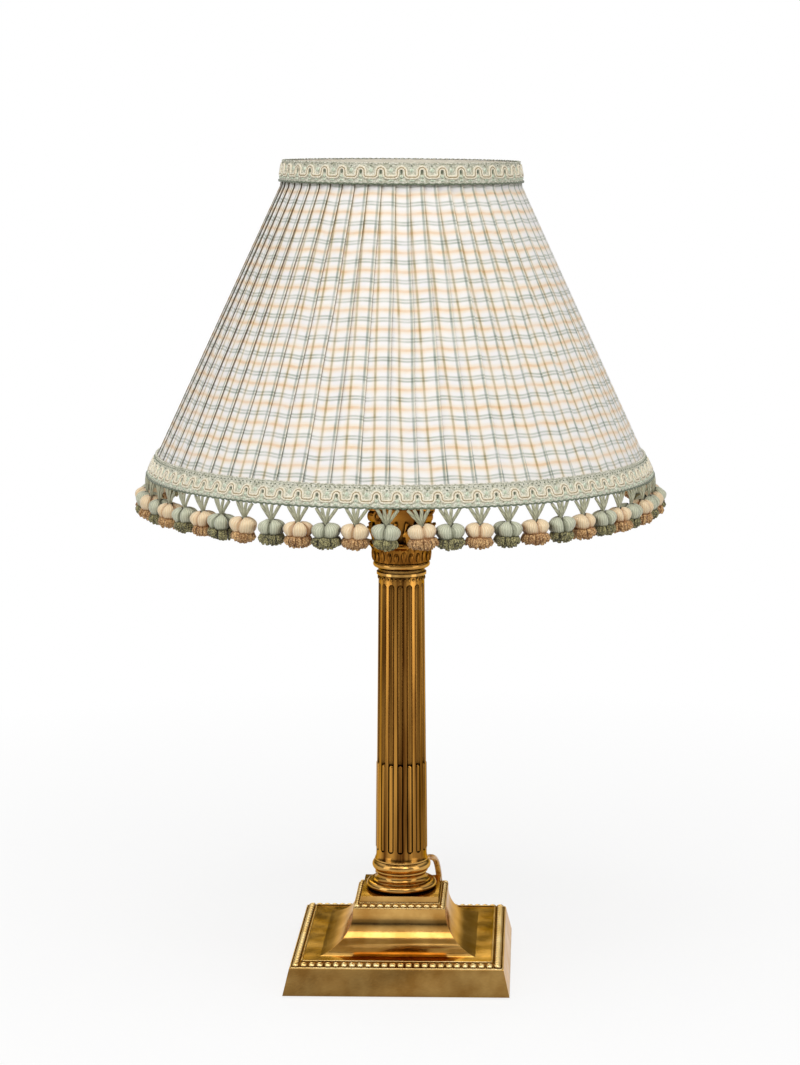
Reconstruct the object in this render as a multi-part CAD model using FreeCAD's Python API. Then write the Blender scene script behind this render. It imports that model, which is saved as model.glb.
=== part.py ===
"""Column table lamp: cast brass base and fluted column, bayonet lampholder, pleated shade with tassels.

Millimetres, +Z up, origin under the middle of the felt pad. The front of the lamp faces -Y.
"""
import FreeCAD
import Part
import math
import os

V = FreeCAD.Vector
UP = V(0, 0, 1)
RIGHT = V(1, 0, 0)
BACK = V(0, 1, 0)
CENTRE = V(0, 0, 0)

# ---- driving dimensions -------------------------------------------------------------------------

# clearances
AIR = 0.15              # between fixed neighbours that curve round one another
RUN = 0.06              # radial running fit
SOFT_GAP = 0.3          # between cloth and what carries it
BUTT_GAP = 0.05         # between wires that meet end on
BUSH_FIT = 0.02         # radial, of the bush in the foot and on the cord
FITTER_GAP = 0.4        # radial, of the shade's fitter round the skirt
TUNNEL_GAP = 0.4        # radial, of the bar in the insulator's tunnel
CONTACT_GAP = 0.1       # between a plunger and the bulb's contact

# felt, board and weight under the base
FELT_SIDE = 126.0
FELT_T = 1.2
BOARD_T = 1.5
NUT_WELL_R = 14.0
NUT_WELL_H = 9.0

# base casting: half widths of its square mouldings, and heights above the table
RIM_LIFT = 0.8          # the casting's rim stands this far off the table
SLAB_HALF = 68.2
SLAB_TOP_HALF = 64.5
SLAB_H = 16.4
BORDER_W = 7.5          # sloping beaded border of the slab
BORDER_RISE = 2.6
FILLET_W = 0.9          # raised lines on each side of a beaded border
FILLET_H = 0.5
COVE_FOOT_HALF = 47.0
PLINTH_HALF = 28.3
COVE_H = 23.5
COVE_BELLY = 0.285      # depth of the hollow, as a share of its chord
TOP_BORDER_W = 3.9
TOP_BORDER_RISE = 3.2
TABLE_HALF = 23.8
TABLE_H = 4.0
WALL = 3.2

# column foot
FOOT_R = 21.7
FOOT_LOWER_T = 2.3      # tube radius of the lower torus
FOOT_WAIST_R = 15.2
FOOT_UPPER_R = 18.1
FOOT_UPPER_T = 3.2
FOOT_FILLET = 0.9
SCOTIA_H = 5.0
FOOT_BORE_R = 10.0

# fluted shaft
SHAFT_H = 178.6
SHAFT_R_LOW = 15.7
SHAFT_R_TOP = 14.05
SHAFT_BORE_R = 10.0
FLARE_H = 3.0
FLARE_W = 0.8
FLUTES = 16
FLUTE_R = 2.0
FLUTE_OUT = 0.45        # the cutter's axis stands this far outside the shaft's skin
FLUTE_FOOT = 5.5        # from the shaft's ends to the flutes' round ends
FLUTE_HEAD = 5.0
CABLE_H = 60.0          # the lower flutes hold convex cables up to here
CABLE_R = 1.55
CABLE_SINK = 1.2

# collar between shaft and capital
COLLAR_H = 8.4
COLLAR_FILLET_R = 15.2
COLLAR_FILLET_H = 1.6
ASTRAGAL_R = 17.4
ASTRAGAL_T = 2.0

# capital
BELL_R_LOW = 15.4
BELL_R_TOP = 17.4
BELL_H = 33.0
LEAVES = 8
LEAF_T = 1.7
LOW_LEAF_H = 13.0
HIGH_LEAF_H = 22.5
LEAF_CURL = 3.3
LEAF_W = 10.6
VOLUTE_R = 3.8
VOLUTE_T = 5.0
VOLUTE_REACH = 21.8
ABACUS_H = 4.6
ABACUS_MID = 16.8
ABACUS_CORNER = 27.0
ABACUS_CUT = 5.6
FLOWER_R = 2.5

# rod and nuts
ROD_R = 5.0
ROD_BORE_R = 3.3
ROD_HOLE_GAP = 0.3
NUT_AF = 17.0
NUT_H = 5.0
WASHER_R = 12.0
WASHER_T = 1.5
CAP_R = 11.0
CAP_H = 3.0
LOCK_AF = 15.0
LOCK_H = 3.6

# lampholder
HOLDER_R = 17.4
HOLDER_WALL = 1.0
NECK_R = 7.4
NECK_H = 4.6
HOLDER_CAP_H = 17.4
HOLDER_BODY_H = 15.2
SKIRT_R = 14.2
SKIRT_BORE_R = 11.6
SKIRT_H = 25.0
SLOT_W = 2.6
SLOT_DEPTH = 1.9
SLOT_TURN = 25.0
BLOCK_R = 11.2
BLOCK_H = 15.6
BLOCK_LIFT = 1.4
BAR_R = 2.5
BAR_LENGTH = 48.0
BAR_TRAVEL = 7.0
BAR_HEIGHT = 7.2        # of the bar's axis over the foot of the lampholder's body
CONTACT_OFF = 5.0
PLUNGER_R = 1.9
PLUNGER_H = 5.4
SPRING_H = 3.0
SCREW_R = 1.6
SCREW_H = 1.2
SCREW_OFF = 6.0
SHADE_RING_R = 18.8
SHADE_RING_H = 6.5
RING_GRIPS = 12

# bulb
BULB_CAP_R = 10.9
BULB_CAP_H = 24.0
BULB_SEAT = 5.0         # cap's end above the foot of the skirt
PIN_R = 1.0
PIN_REACH = 13.1
SOLDER_H = 0.5          # contacts under the bulb's cap
BULB_R = 30.0
BULB_LENGTH = 104.0
GLASS_T = 0.8

# shade
RIM_DROP = 22.8         # from the fitter down to the lower edge of the shade's lower trimming
SHADE_H = 186.8
SHADE_RIM_R = 152.2     # over the pleats at the lower edge
SHADE_SLOPE = 0.4651    # radius lost per mm of height
COLLAR_BAND_H = 15.0    # upper band, where the cloth stands steeper
COLLAR_SLOPE = 0.18
PLEATS = 56
PLEAT_STEP = 1.2        # at the lower edge; it shrinks with the radius, so that each pleat lies flat
CLOTH_T = 1.1           # under the pleats' lowest lines, for their hidden layers
GIMP_T = 1.4
GIMP_H = 12.0
WIRE_R = 1.3
LINING_T = 0.6
STRUTS = 8
ARMS = 3
ARM_R = 1.6
FITTER_R = 20.0
FITTER_T = 1.6

# fringe
TASSELS = 56
TASSEL_R = 8.1
STRAND_H = 9.3
TASSEL_OUT = 0.6        # of the tassels' middles over the rim's radius
BULB_TASSEL_H = 9.8
SKIRT_TASSEL_H = 6.8
SKIRT_TASSEL_R = 6.4
TASSEL_SIDES = 10

# cord, coil and plug
CORD_R = 1.9
BUSH_R = 3.1
BUSH_IN = 12.5
BUSH_OUT = 19.2
BUSH_ANGLE = 50.6       # round from +X, towards the back
BUSH_OVER_FOOT = 13.0   # of the cord's exit over the foot's seat
COIL_X = -5.5
COIL_Y = 97.0
COIL_MID_R = 21.0
COIL_PITCH = 4.35
COIL_LIFT = 4.3
COIL_LAYERS = 4
LAYER_TURNS = 2.5
CORD_FLOOR = 2.0        # height of a cord's axis that lies on the table
INNER_BEND = 7.0        # radius of the cord's bend inside the rod
INNER_END = 2.0         # from the inner cord's end to the terminal block
PLUG_X = -10.3          # middle of the plug's back face
PLUG_Y = 175.0
PLUG_W = 35.0
PLUG_T = 13.7
PLUG_L = 36.0
PLUG_PIN_R = 2.0
PLUG_PIN_L = 19.0
PLUG_PIN_GAP = 19.0
GRIP_L = 22.0
GRIP_R = 3.6

# ---- levels worked out from them ----------------------------------------------------------------

BOARD_Z = FELT_T
WEIGHT_Z = BOARD_Z + BOARD_T
BORDER_TOP = SLAB_H + BORDER_RISE
PLINTH_Z = BORDER_TOP + COVE_H
TABLE_Z = PLINTH_Z + TOP_BORDER_RISE
FOOT_Z = TABLE_Z + TABLE_H
FOOT_H = 2 * FOOT_LOWER_T + SCOTIA_H + 2 * FOOT_UPPER_T + 3 * FOOT_FILLET
SHAFT_Z = FOOT_Z + FOOT_H
COLLAR_Z = SHAFT_Z + SHAFT_H
BELL_Z = COLLAR_Z + COLLAR_H
ABACUS_Z = BELL_Z + BELL_H
CAP_Z = ABACUS_Z + ABACUS_H
LOCK_Z = CAP_Z + CAP_H
HOLDER_Z = LOCK_Z + LOCK_H
BODY_Z = HOLDER_Z + HOLDER_CAP_H
SKIRT_Z = BODY_Z + HOLDER_BODY_H
BLOCK_Z = BODY_Z + BLOCK_LIFT
BLOCK_TOP = BLOCK_Z + BLOCK_H
BAR_Z = BODY_Z + BAR_HEIGHT
BULB_Z = SKIRT_Z + BULB_SEAT
PLUNGER_Z = BULB_Z - SOLDER_H - CONTACT_GAP - PLUNGER_H
FITTER_Z = SKIRT_Z + SOFT_GAP
RIM_Z = FITTER_Z - RIM_DROP
SHADE_RING_Z = FITTER_Z + FITTER_T + SOFT_GAP
TOP_Z = RIM_Z + SHADE_H
COLLAR_BAND_Z = TOP_Z - COLLAR_BAND_H
INNER_TOP = BORDER_TOP - WALL


# ---- shapes -------------------------------------------------------------------------------------

def outline(start, steps):
    """Edges from start through steps in the XZ plane: (x, z) is a line, ((x, z), (x, z)) an arc."""
    edges = []
    here = V(start[0], 0, start[1])
    for step in steps:
        if isinstance(step[0], tuple):
            mid = V(step[0][0], 0, step[0][1])
            end = V(step[1][0], 0, step[1][1])
            edges.append(Part.Arc(here, mid, end).toShape())
        else:
            end = V(step[0], 0, step[1])
            edges.append(Part.LineSegment(here, end).toShape())
        here = end
    edges.append(Part.LineSegment(here, V(start[0], 0, start[1])).toShape())
    return edges


def lathe(start, *steps):
    """Solid turned about Z from a closed outline of radii and heights."""
    face = Part.Face(Part.Wire(outline(start, steps)))
    return face.revolve(CENTRE, UP, 360)


def square_turned(start, *steps):
    """Solid whose mitred square mouldings follow half a section, drawn from the axis and back to it."""
    half = Part.Face(Part.Wire(outline(start, steps)))
    reach = 2 * SLAB_HALF
    along = half.extrude(V(0, 2 * reach, 0))
    along.translate(V(0, -reach, 0))
    mirrored = along.mirror(CENTRE, RIGHT)
    prism = along.fuse(mirrored).removeSplitter()
    across = prism.copy()
    across.rotate(CENTRE, UP, 90)
    return prism.common(across).removeSplitter()


def cylinder(radius, height, at, along=UP):
    return Part.makeCylinder(radius, height, at, along)


def tube(outer, inner, height, z):
    return lathe((inner, z), (outer, z), (outer, z + height), (inner, z + height))


def hexagon(across_flats, height, z, hole):
    corner = across_flats / math.sqrt(3)
    points = [V(corner * math.cos(k * math.pi / 3), corner * math.sin(k * math.pi / 3), z) for k in range(7)]
    nut = Part.Face(Part.makePolygon(points)).extrude(V(0, 0, height))
    return nut.cut(cylinder(hole, height, V(0, 0, z)))


def around(shape, count, first=0.0):
    """Copies of a shape, turned evenly about Z."""
    copies = []
    for k in range(count):
        copy = shape.copy()
        copy.rotate(CENTRE, UP, first + 360.0 * k / count)
        copies.append(copy)
    return copies


def on_circle(centre, radius, degrees):
    """Point of an outline on a circle about centre, in the XZ plane."""
    turn = math.radians(degrees)
    return (centre[0] + radius * math.cos(turn), centre[1] + radius * math.sin(turn))


def polar(radius, degrees, z):
    turn = math.radians(degrees)
    return V(radius * math.cos(turn), radius * math.sin(turn), z)


def save(node, shape):
    shape.exportStep("parts/%s.step" % node)


def group(solids):
    return Part.Compound(solids)


# ---- base ---------------------------------------------------------------------------------------

def base_section(shrink):
    """Cove and border edge of half the base's section, drawn in by a wall."""
    inner_edge = SLAB_TOP_HALF - BORDER_W - shrink
    foot = (COVE_FOOT_HALF - shrink, BORDER_TOP - shrink)
    head = (PLINTH_HALF - shrink, PLINTH_Z - shrink * 0.5)
    middle = ((foot[0] + head[0]) / 2, (foot[1] + head[1]) / 2)
    run = (foot[0] - head[0], head[1] - foot[1])
    belly = (middle[0] - COVE_BELLY * run[1] * 0.62, middle[1] - COVE_BELLY * run[0] * 0.75)
    return foot, belly, head, inner_edge


def base_casting():
    foot, belly, head, inner_edge = base_section(0)
    slope = BORDER_RISE / BORDER_W
    outer = square_turned(
        (0, RIM_LIFT),
        (SLAB_HALF, RIM_LIFT),
        (SLAB_TOP_HALF, SLAB_H),
        (SLAB_TOP_HALF - FILLET_W / 3, SLAB_H + FILLET_H),
        (SLAB_TOP_HALF - FILLET_W, SLAB_H + FILLET_H + slope * FILLET_W),
        (SLAB_TOP_HALF - FILLET_W, SLAB_H + slope * FILLET_W),
        (inner_edge + FILLET_W, BORDER_TOP - slope * FILLET_W),
        (inner_edge + FILLET_W, BORDER_TOP + FILLET_H),
        (inner_edge, BORDER_TOP + FILLET_H),
        (inner_edge, BORDER_TOP),
        foot,
        (belly, head),
        (PLINTH_HALF, PLINTH_Z + FILLET_H),
        (PLINTH_HALF - FILLET_W, PLINTH_Z + 2 * FILLET_H),
        (PLINTH_HALF - FILLET_W, PLINTH_Z + FILLET_H),
        (PLINTH_HALF - TOP_BORDER_W + FILLET_W / 2, TABLE_Z - FILLET_H),
        (PLINTH_HALF - TOP_BORDER_W + FILLET_W / 2, TABLE_Z),
        (TABLE_HALF, TABLE_Z),
        (TABLE_HALF, FOOT_Z),
        (0, FOOT_Z))
    foot_in, belly_in, head_in, edge_in = base_section(WALL)
    hollow = square_turned(
        (0, RIM_LIFT - 1),
        (SLAB_HALF - WALL, RIM_LIFT - 1),
        (SLAB_TOP_HALF - WALL, SLAB_H - WALL),
        (edge_in, INNER_TOP),
        foot_in,
        (belly_in, head_in),
        (TABLE_HALF - WALL, TABLE_Z - WALL),
        (TABLE_HALF - WALL, FOOT_Z - WALL),
        (0, FOOT_Z - WALL))
    bore = cylinder(ROD_R + ROD_HOLE_GAP, 2 * WALL, V(0, 0, FOOT_Z - 1.5 * WALL))
    return outer.cut(hollow).cut(bore)


def square_plate(side, thickness, z, corner):
    plate = Part.makeBox(side, side, thickness, V(-side / 2, -side / 2, z))
    uprights = [e for e in plate.Edges if abs(e.Vertexes[0].Z - e.Vertexes[1].Z) > thickness / 2]
    return plate.makeFillet(corner, uprights)


def base_weight():
    """Iron block that fills the slab, with a well below for the rod's nut."""
    side = 2 * (COVE_FOOT_HALF + 4)
    block = square_plate(side, INNER_TOP - WEIGHT_Z, WEIGHT_Z, 4)
    well = cylinder(NUT_WELL_R, NUT_WELL_H, V(0, 0, WEIGHT_Z))
    bore = cylinder(ROD_R + ROD_HOLE_GAP, INNER_TOP, V(0, 0, WEIGHT_Z))
    return block.cut(well).cut(bore)


# ---- column -------------------------------------------------------------------------------------

def column_foot():
    """Attic base: two tori with a hollow between them, bored for the cord's bush."""
    low_mid = FOOT_Z + FOOT_LOWER_T
    low_top = FOOT_Z + 2 * FOOT_LOWER_T
    hollow_low = low_top + FOOT_FILLET
    hollow_top = hollow_low + SCOTIA_H
    up_low = hollow_top + FOOT_FILLET
    up_mid = up_low + FOOT_UPPER_T
    up_top = up_low + 2 * FOOT_UPPER_T
    low_seat = FOOT_R - FOOT_LOWER_T
    up_seat = FOOT_UPPER_R - FOOT_UPPER_T * 0.8
    foot = lathe(
        (FOOT_BORE_R, FOOT_Z),
        (low_seat, FOOT_Z),
        ((FOOT_R, low_mid), (low_seat, low_top)),
        (low_seat - 1.2, low_top),
        (low_seat - 1.2, hollow_low),
        ((FOOT_WAIST_R, (hollow_low + hollow_top) / 2 - 0.6), (FOOT_WAIST_R + 1.0, hollow_top)),
        (FOOT_WAIST_R + 1.0, up_low),
        (up_seat, up_low),
        ((FOOT_UPPER_R, up_mid), (up_seat, up_top)),
        (SHAFT_R_LOW + FLARE_W, up_top),
        (SHAFT_R_LOW + FLARE_W, SHAFT_Z),
        (FOOT_BORE_R, SHAFT_Z))
    return foot.cut(cylinder(BUSH_R, BUSH_OUT * 2, V(0, 0, BUSH_Z), polar(1, BUSH_ANGLE, 0)))


BUSH_Z = FOOT_Z + BUSH_OVER_FOOT


def along_shaft(radius, low, high, offset, round_low):
    """Round-ended rod that follows the shaft's taper, for a flute or the cable in it."""
    lean = math.atan2(SHAFT_R_LOW - SHAFT_R_TOP, SHAFT_H)
    length = (high - low) / math.cos(lean)
    rod = cylinder(radius, length, CENTRE).fuse(Part.makeSphere(radius, V(0, 0, length)))
    if round_low:
        rod = rod.fuse(Part.makeSphere(radius, CENTRE))
    rod = rod.removeSplitter()
    rod.rotate(CENTRE, BACK, -math.degrees(lean))
    skin = SHAFT_R_LOW - (low - SHAFT_Z) * math.tan(lean)
    rod.translate(V(skin + offset, 0, low))
    return rod


def fluted_shaft():
    """Tapered tube with round-ended flutes, the lower third of each filled by a cable."""
    body = lathe(
        (SHAFT_BORE_R, SHAFT_Z),
        (SHAFT_R_LOW + FLARE_W, SHAFT_Z),
        ((SHAFT_R_LOW + FLARE_W * 0.25, SHAFT_Z + FLARE_H * 0.5), (SHAFT_R_LOW, SHAFT_Z + FLARE_H)),
        (SHAFT_R_TOP, COLLAR_Z),
        (SHAFT_BORE_R, COLLAR_Z))
    low = SHAFT_Z + FLUTE_FOOT + FLUTE_R
    high = COLLAR_Z - FLUTE_HEAD - FLUTE_R
    flute = along_shaft(FLUTE_R, low, high, FLUTE_OUT, True)
    cable = along_shaft(CABLE_R, low - FLUTE_R * 0.4, SHAFT_Z + CABLE_H, -CABLE_SINK, False)
    body = body.cut(around(flute, FLUTES, -90))
    return body.fuse(around(cable, FLUTES, -90)).removeSplitter()


def shaft_collar():
    mid = BELL_Z - ASTRAGAL_T
    seat = ASTRAGAL_R - ASTRAGAL_T
    neck = COLLAR_Z + COLLAR_FILLET_H
    return lathe(
        (SHAFT_BORE_R, COLLAR_Z),
        (COLLAR_FILLET_R, COLLAR_Z),
        (COLLAR_FILLET_R, neck),
        (SHAFT_R_TOP, neck),
        ((SHAFT_R_TOP + 0.3, neck + 1.5), (seat, mid - ASTRAGAL_T)),
        ((ASTRAGAL_R, mid), (seat, BELL_Z)),
        (SHAFT_BORE_R, BELL_Z))


def leaf(height, foot_r, width):
    """Curled leaf that faces -Y: a curling band, cut to the leaf's lobed outline."""
    top = BELL_Z + height
    band = lathe(
        (foot_r - LEAF_T, BELL_Z),
        (foot_r + LEAF_T * 0.6, BELL_Z),
        ((foot_r + LEAF_T, BELL_Z + height * 0.55), (foot_r + LEAF_CURL + LEAF_T * 0.4, top - 3.4)),
        ((foot_r + LEAF_CURL + LEAF_T, top - 2.2), (foot_r + LEAF_CURL, top - 1.0)),
        ((foot_r + LEAF_T * 0.8, top - 0.6), (foot_r - LEAF_T * 0.2, top - height * 0.4)),
        (foot_r - LEAF_T, top - height * 0.6))
    half = width / 2
    side = [(half * 0.84, 0), (half, 0.2), (half * 0.86, 0.36), (half * 0.98, 0.5), (half * 0.92, 0.62),
            (half * 0.74, 0.7), (half * 0.8, 0.82), (half * 0.62, 0.95), (half * 0.3, 1.02)]
    points = [V(x, 0, BELL_Z + height * share) for x, share in side]
    points += [V(-p.x, 0, p.z) for p in reversed(points)]
    points.append(points[0])
    blade = Part.Face(Part.makePolygon(points)).extrude(V(0, -2 * ABACUS_CORNER, 0))
    return band.common(blade)


def volute():
    """Corner scroll on its stalk, drawn in the plane of the +X radius."""
    centre_z = ABACUS_Z - VOLUTE_R
    foot_z = BELL_Z + LOW_LEAF_H
    scroll_at = (VOLUTE_REACH, centre_z)
    edges = outline(
        (BELL_R_LOW, foot_z),
        [(BELL_R_LOW + 2.6, foot_z),
         ((BELL_R_LOW + 3.0, centre_z - 8.5), on_circle(scroll_at, VOLUTE_R, -120)),
         (on_circle(scroll_at, VOLUTE_R, -15), on_circle(scroll_at, VOLUTE_R, 90)),
         (BELL_R_LOW, ABACUS_Z)])
    scroll = Part.Face(Part.Wire(edges)).extrude(V(0, VOLUTE_T, 0))
    scroll.translate(V(0, -VOLUTE_T / 2, 0))
    hub = V(VOLUTE_REACH - 0.2, -VOLUTE_T / 2, centre_z)
    for start in (hub, hub + V(0, VOLUTE_T - 0.6, 0)):
        ring = cylinder(VOLUTE_R * 0.72, 0.6, start, BACK)
        eye = cylinder(VOLUTE_R * 0.36, 0.6, start, BACK)
        scroll = scroll.cut(ring.cut(eye))
    return scroll


def abacus():
    """Four-cornered slab with hollow sides, cut corners and a flower on each side."""
    slab = None
    for low, height, grow in ((ABACUS_Z, ABACUS_H * 0.4, -0.8), (ABACUS_Z + ABACUS_H * 0.4, ABACUS_H * 0.6, 0)):
        edges = []
        for k in range(4):
            corner = V(ABACUS_CORNER + grow, 0, low)
            left = corner + V(0, ABACUS_CUT / 2, 0)
            turn = FreeCAD.Rotation(UP, 45 + 90 * k)
            after = FreeCAD.Rotation(UP, 135 + 90 * k)
            mid = FreeCAD.Rotation(UP, 90 + 90 * k).multVec(V(ABACUS_MID + grow, 0, low))
            near = turn.multVec(corner - V(0, ABACUS_CUT / 2, 0))
            far = turn.multVec(left)
            following = after.multVec(corner - V(0, ABACUS_CUT / 2, 0))
            edges.append(Part.LineSegment(near, far).toShape())
            edges.append(Part.Arc(far, mid, following).toShape())
        layer = Part.Face(Part.Wire(edges)).extrude(V(0, 0, height))
        slab = layer if slab is None else slab.fuse(layer)
    flower = Part.makeSphere(FLOWER_R, V(ABACUS_MID - 1.0, 0, ABACUS_Z + ABACUS_H * 0.45))
    return slab.fuse(around(flower, 4))


def capital():
    bell = lathe(
        (0, BELL_Z),
        (BELL_R_LOW, BELL_Z),
        ((BELL_R_LOW + 0.4, BELL_Z + BELL_H * 0.6), (BELL_R_TOP, ABACUS_Z)),
        (0, ABACUS_Z))
    lower = leaf(LOW_LEAF_H, BELL_R_LOW + 0.6, LEAF_W)
    upper = leaf(HIGH_LEAF_H, BELL_R_LOW + 0.5, LEAF_W * 0.94)
    leaves = around(lower, LEAVES) + around(upper, LEAVES, 180.0 / LEAVES)
    parts = leaves + around(volute(), 4, 45) + [abacus()]
    bore = cylinder(ROD_R + ROD_HOLE_GAP, BELL_H + ABACUS_H, V(0, 0, BELL_Z))
    return bell.fuse(parts).removeSplitter().cut(bore)


# ---- rod, cap and nuts --------------------------------------------------------------------------

WASHER_Z = WEIGHT_Z + NUT_WELL_H - WASHER_T
NUT_Z = WASHER_Z - NUT_H
ROD_Z = NUT_Z - 1.0
ROD_TOP = HOLDER_Z + NECK_H


def threaded_rod():
    """Hollow rod through the whole column, slotted where the cord comes in."""
    rod = tube(ROD_R, ROD_BORE_R, ROD_TOP - ROD_Z, ROD_Z)
    slot = Part.makeBox(2 * ROD_R, 2 * CORD_R + 1.2, 5 * CORD_R + 8, V(0, -CORD_R - 0.6, BUSH_Z - CORD_R - 1))
    slot.rotate(CENTRE, UP, BUSH_ANGLE)
    return rod.cut(slot)


def top_cap():
    return lathe(
        (ROD_R + RUN, CAP_Z),
        (CAP_R, CAP_Z),
        ((CAP_R * 0.9, CAP_Z + CAP_H * 0.6), (CAP_R * 0.74, CAP_Z + CAP_H)),
        (ROD_R + RUN, CAP_Z + CAP_H))


# ---- lampholder ---------------------------------------------------------------------------------

def lampholder_cap():
    """Turned brass cap that screws on the rod and opens out to the body."""
    shoulder = HOLDER_Z + HOLDER_CAP_H * 0.62
    inner = HOLDER_R - HOLDER_WALL
    return lathe(
        (ROD_R + RUN, HOLDER_Z),
        (NECK_R, HOLDER_Z),
        (NECK_R, HOLDER_Z + NECK_H),
        ((HOLDER_R * 0.78, HOLDER_Z + NECK_H * 1.3), (HOLDER_R, shoulder)),
        (HOLDER_R, BODY_Z),
        (inner, BODY_Z),
        (inner, shoulder),
        ((HOLDER_R * 0.74, HOLDER_Z + NECK_H * 1.6), (NECK_R - HOLDER_WALL, HOLDER_Z + NECK_H + HOLDER_WALL)),
        (ROD_R + RUN, HOLDER_Z + NECK_H + HOLDER_WALL))


def lampholder_body():
    """Drum with a shoulder on top, pierced for the push bar."""
    inner = HOLDER_R - HOLDER_WALL
    drum = lathe(
        (inner, BODY_Z),
        (HOLDER_R, BODY_Z),
        (HOLDER_R, SKIRT_Z),
        (BLOCK_R + AIR, SKIRT_Z),
        (BLOCK_R + AIR, SKIRT_Z - HOLDER_WALL),
        (inner, SKIRT_Z - HOLDER_WALL))
    return drum.cut(cylinder(BAR_R + RUN, 4 * HOLDER_R, V(-2 * HOLDER_R, 0, BAR_Z), RIGHT))


def terminal_block():
    """Insulator in the lampholder, with wells for the two contacts and a tunnel for the bar."""
    block = cylinder(BLOCK_R, BLOCK_H, V(0, 0, BLOCK_Z))
    block = block.cut(cylinder(BAR_R + TUNNEL_GAP, 2 * HOLDER_R, V(-HOLDER_R, 0, BAR_Z), RIGHT))
    well_floor = PLUNGER_Z - SPRING_H
    for side in (-1, 1):
        well = cylinder(PLUNGER_R + RUN, BLOCK_TOP - well_floor, V(0, side * CONTACT_OFF, well_floor))
        block = block.cut(well)
    return block


def contact_pair(radius, height, z, hole=0.0):
    pair = []
    for side in (-1, 1):
        at = V(0, side * CONTACT_OFF, z)
        solid = cylinder(radius, height, at)
        if hole:
            solid = solid.cut(cylinder(hole, height, at))
        pair.append(solid)
    return group(pair)


def terminal_screws():
    screws = []
    for side in (-1, 1):
        head = cylinder(SCREW_R, SCREW_H, V(side * SCREW_OFF, 0, BLOCK_Z - SCREW_H))
        screws.append(head)
    return group(screws)


def lampholder_skirt():
    """Sleeve that takes the bulb: outside for the shade ring, inside two bayonet slots."""
    skirt = lathe(
        (SKIRT_BORE_R, SKIRT_Z),
        (SKIRT_R, SKIRT_Z),
        (SKIRT_R, SKIRT_Z + SKIRT_H - 1.0),
        (SKIRT_R - 1.0, SKIRT_Z + SKIRT_H),
        (SKIRT_BORE_R, SKIRT_Z + SKIRT_H))
    depth = SKIRT_BORE_R + SLOT_DEPTH
    lane = math.degrees(SLOT_W / depth)
    lane_z = BULB_PIN_Z - SLOT_W / 2
    for side in (0, 180):
        way_in = Part.makeCylinder(depth, SKIRT_H, V(0, 0, lane_z), UP, lane)
        way_in.rotate(CENTRE, UP, side - SLOT_TURN)
        turn = Part.makeCylinder(depth, SLOT_W, V(0, 0, lane_z), UP, SLOT_TURN + lane)
        turn.rotate(CENTRE, UP, side - SLOT_TURN + lane / 2)
        skirt = skirt.cut(way_in).cut(turn)
    return skirt


def shade_ring():
    """Threaded ring that holds the shade's fitter down, with finger notches."""
    ring = tube(SHADE_RING_R, SKIRT_R + RUN, SHADE_RING_H, SHADE_RING_Z)
    notch = cylinder(1.6, SHADE_RING_H, V(SHADE_RING_R + 0.8, 0, SHADE_RING_Z))
    return ring.cut(around(notch, RING_GRIPS))


# ---- bulb ---------------------------------------------------------------------------------------

BULB_PIN_Z = BULB_Z + 7.0
GLASS_Z = BULB_Z + BULB_CAP_H - 4.0
BULB_TOP = BULB_Z + BULB_LENGTH


def bulb_cap():
    cap = lathe(
        (0, BULB_Z),
        (BULB_CAP_R - 2.5, BULB_Z),
        (BULB_CAP_R, BULB_Z + 2.5),
        (BULB_CAP_R, BULB_Z + BULB_CAP_H),
        (BULB_CAP_R - 0.6, BULB_Z + BULB_CAP_H),
        (BULB_CAP_R - 0.6, GLASS_Z - AIR),
        (0, GLASS_Z - AIR))
    pins = cylinder(PIN_R, 2 * PIN_REACH, V(-PIN_REACH, 0, BULB_PIN_Z), RIGHT)
    return cap.fuse(pins)


def bulb_glass():
    """Hollow pear of glass: a ball on a neck that stands in the cap."""
    neck = BULB_CAP_R - 0.6 - AIR
    ball = (0, BULB_TOP - BULB_R)
    mouth = BULB_Z + BULB_CAP_H + AIR
    waist = (neck + 1.0, mouth + 5.0)
    bend = (BULB_R * 0.55, ball[1] - BULB_R * 0.98)
    inside = BULB_R - GLASS_T
    return lathe(
        (neck - GLASS_T, GLASS_Z),
        (neck, GLASS_Z),
        (neck, mouth),
        waist,
        (bend, on_circle(ball, BULB_R, -36)),
        (on_circle(ball, BULB_R, 27), (0, BULB_TOP)),
        (0, BULB_TOP - GLASS_T),
        (on_circle(ball, inside, 27), on_circle(ball, inside, -36)),
        ((bend[0] - GLASS_T, bend[1] + GLASS_T * 0.5), (waist[0] - GLASS_T, waist[1] + 0.3)),
        (neck - GLASS_T, mouth + 0.3))


def bulb_stem():
    """Glass foot with two wires and the filament between them."""
    top = GLASS_Z + 26.0
    stem = lathe((0, GLASS_Z), (5.0, GLASS_Z), (5.0, GLASS_Z + 4.0), (1.8, GLASS_Z + 12.0), (1.8, top), (0, top))
    fan = [V(-13.0, 0, top + 14.0), V(-5.0, 0, top + 9.0), V(5.0, 0, top + 9.0), V(13.0, 0, top + 14.0)]
    wires = [rod_between(V(side * 1.2, 0, top - 2), V(side * 13.0, 0, top + 14.0), 0.4) for side in (-1, 1)]
    wires += [rod_between(a, b, 0.3) for a, b in zip(fan, fan[1:])]
    return stem.fuse(wires)


def rod_between(start, end, radius):
    return cylinder(radius, (end - start).Length, start, end - start)


# ---- shade --------------------------------------------------------------------------------------

def cloth_r(z):
    """Radius over the pleats at a height: one cone, and a steeper one in the upper band."""
    if z <= COLLAR_BAND_Z:
        return SHADE_RIM_R - (z - RIM_Z) * SHADE_SLOPE
    return SHADE_RIM_R - (COLLAR_BAND_Z - RIM_Z) * SHADE_SLOPE - (z - COLLAR_BAND_Z) * COLLAR_SLOPE


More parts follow.
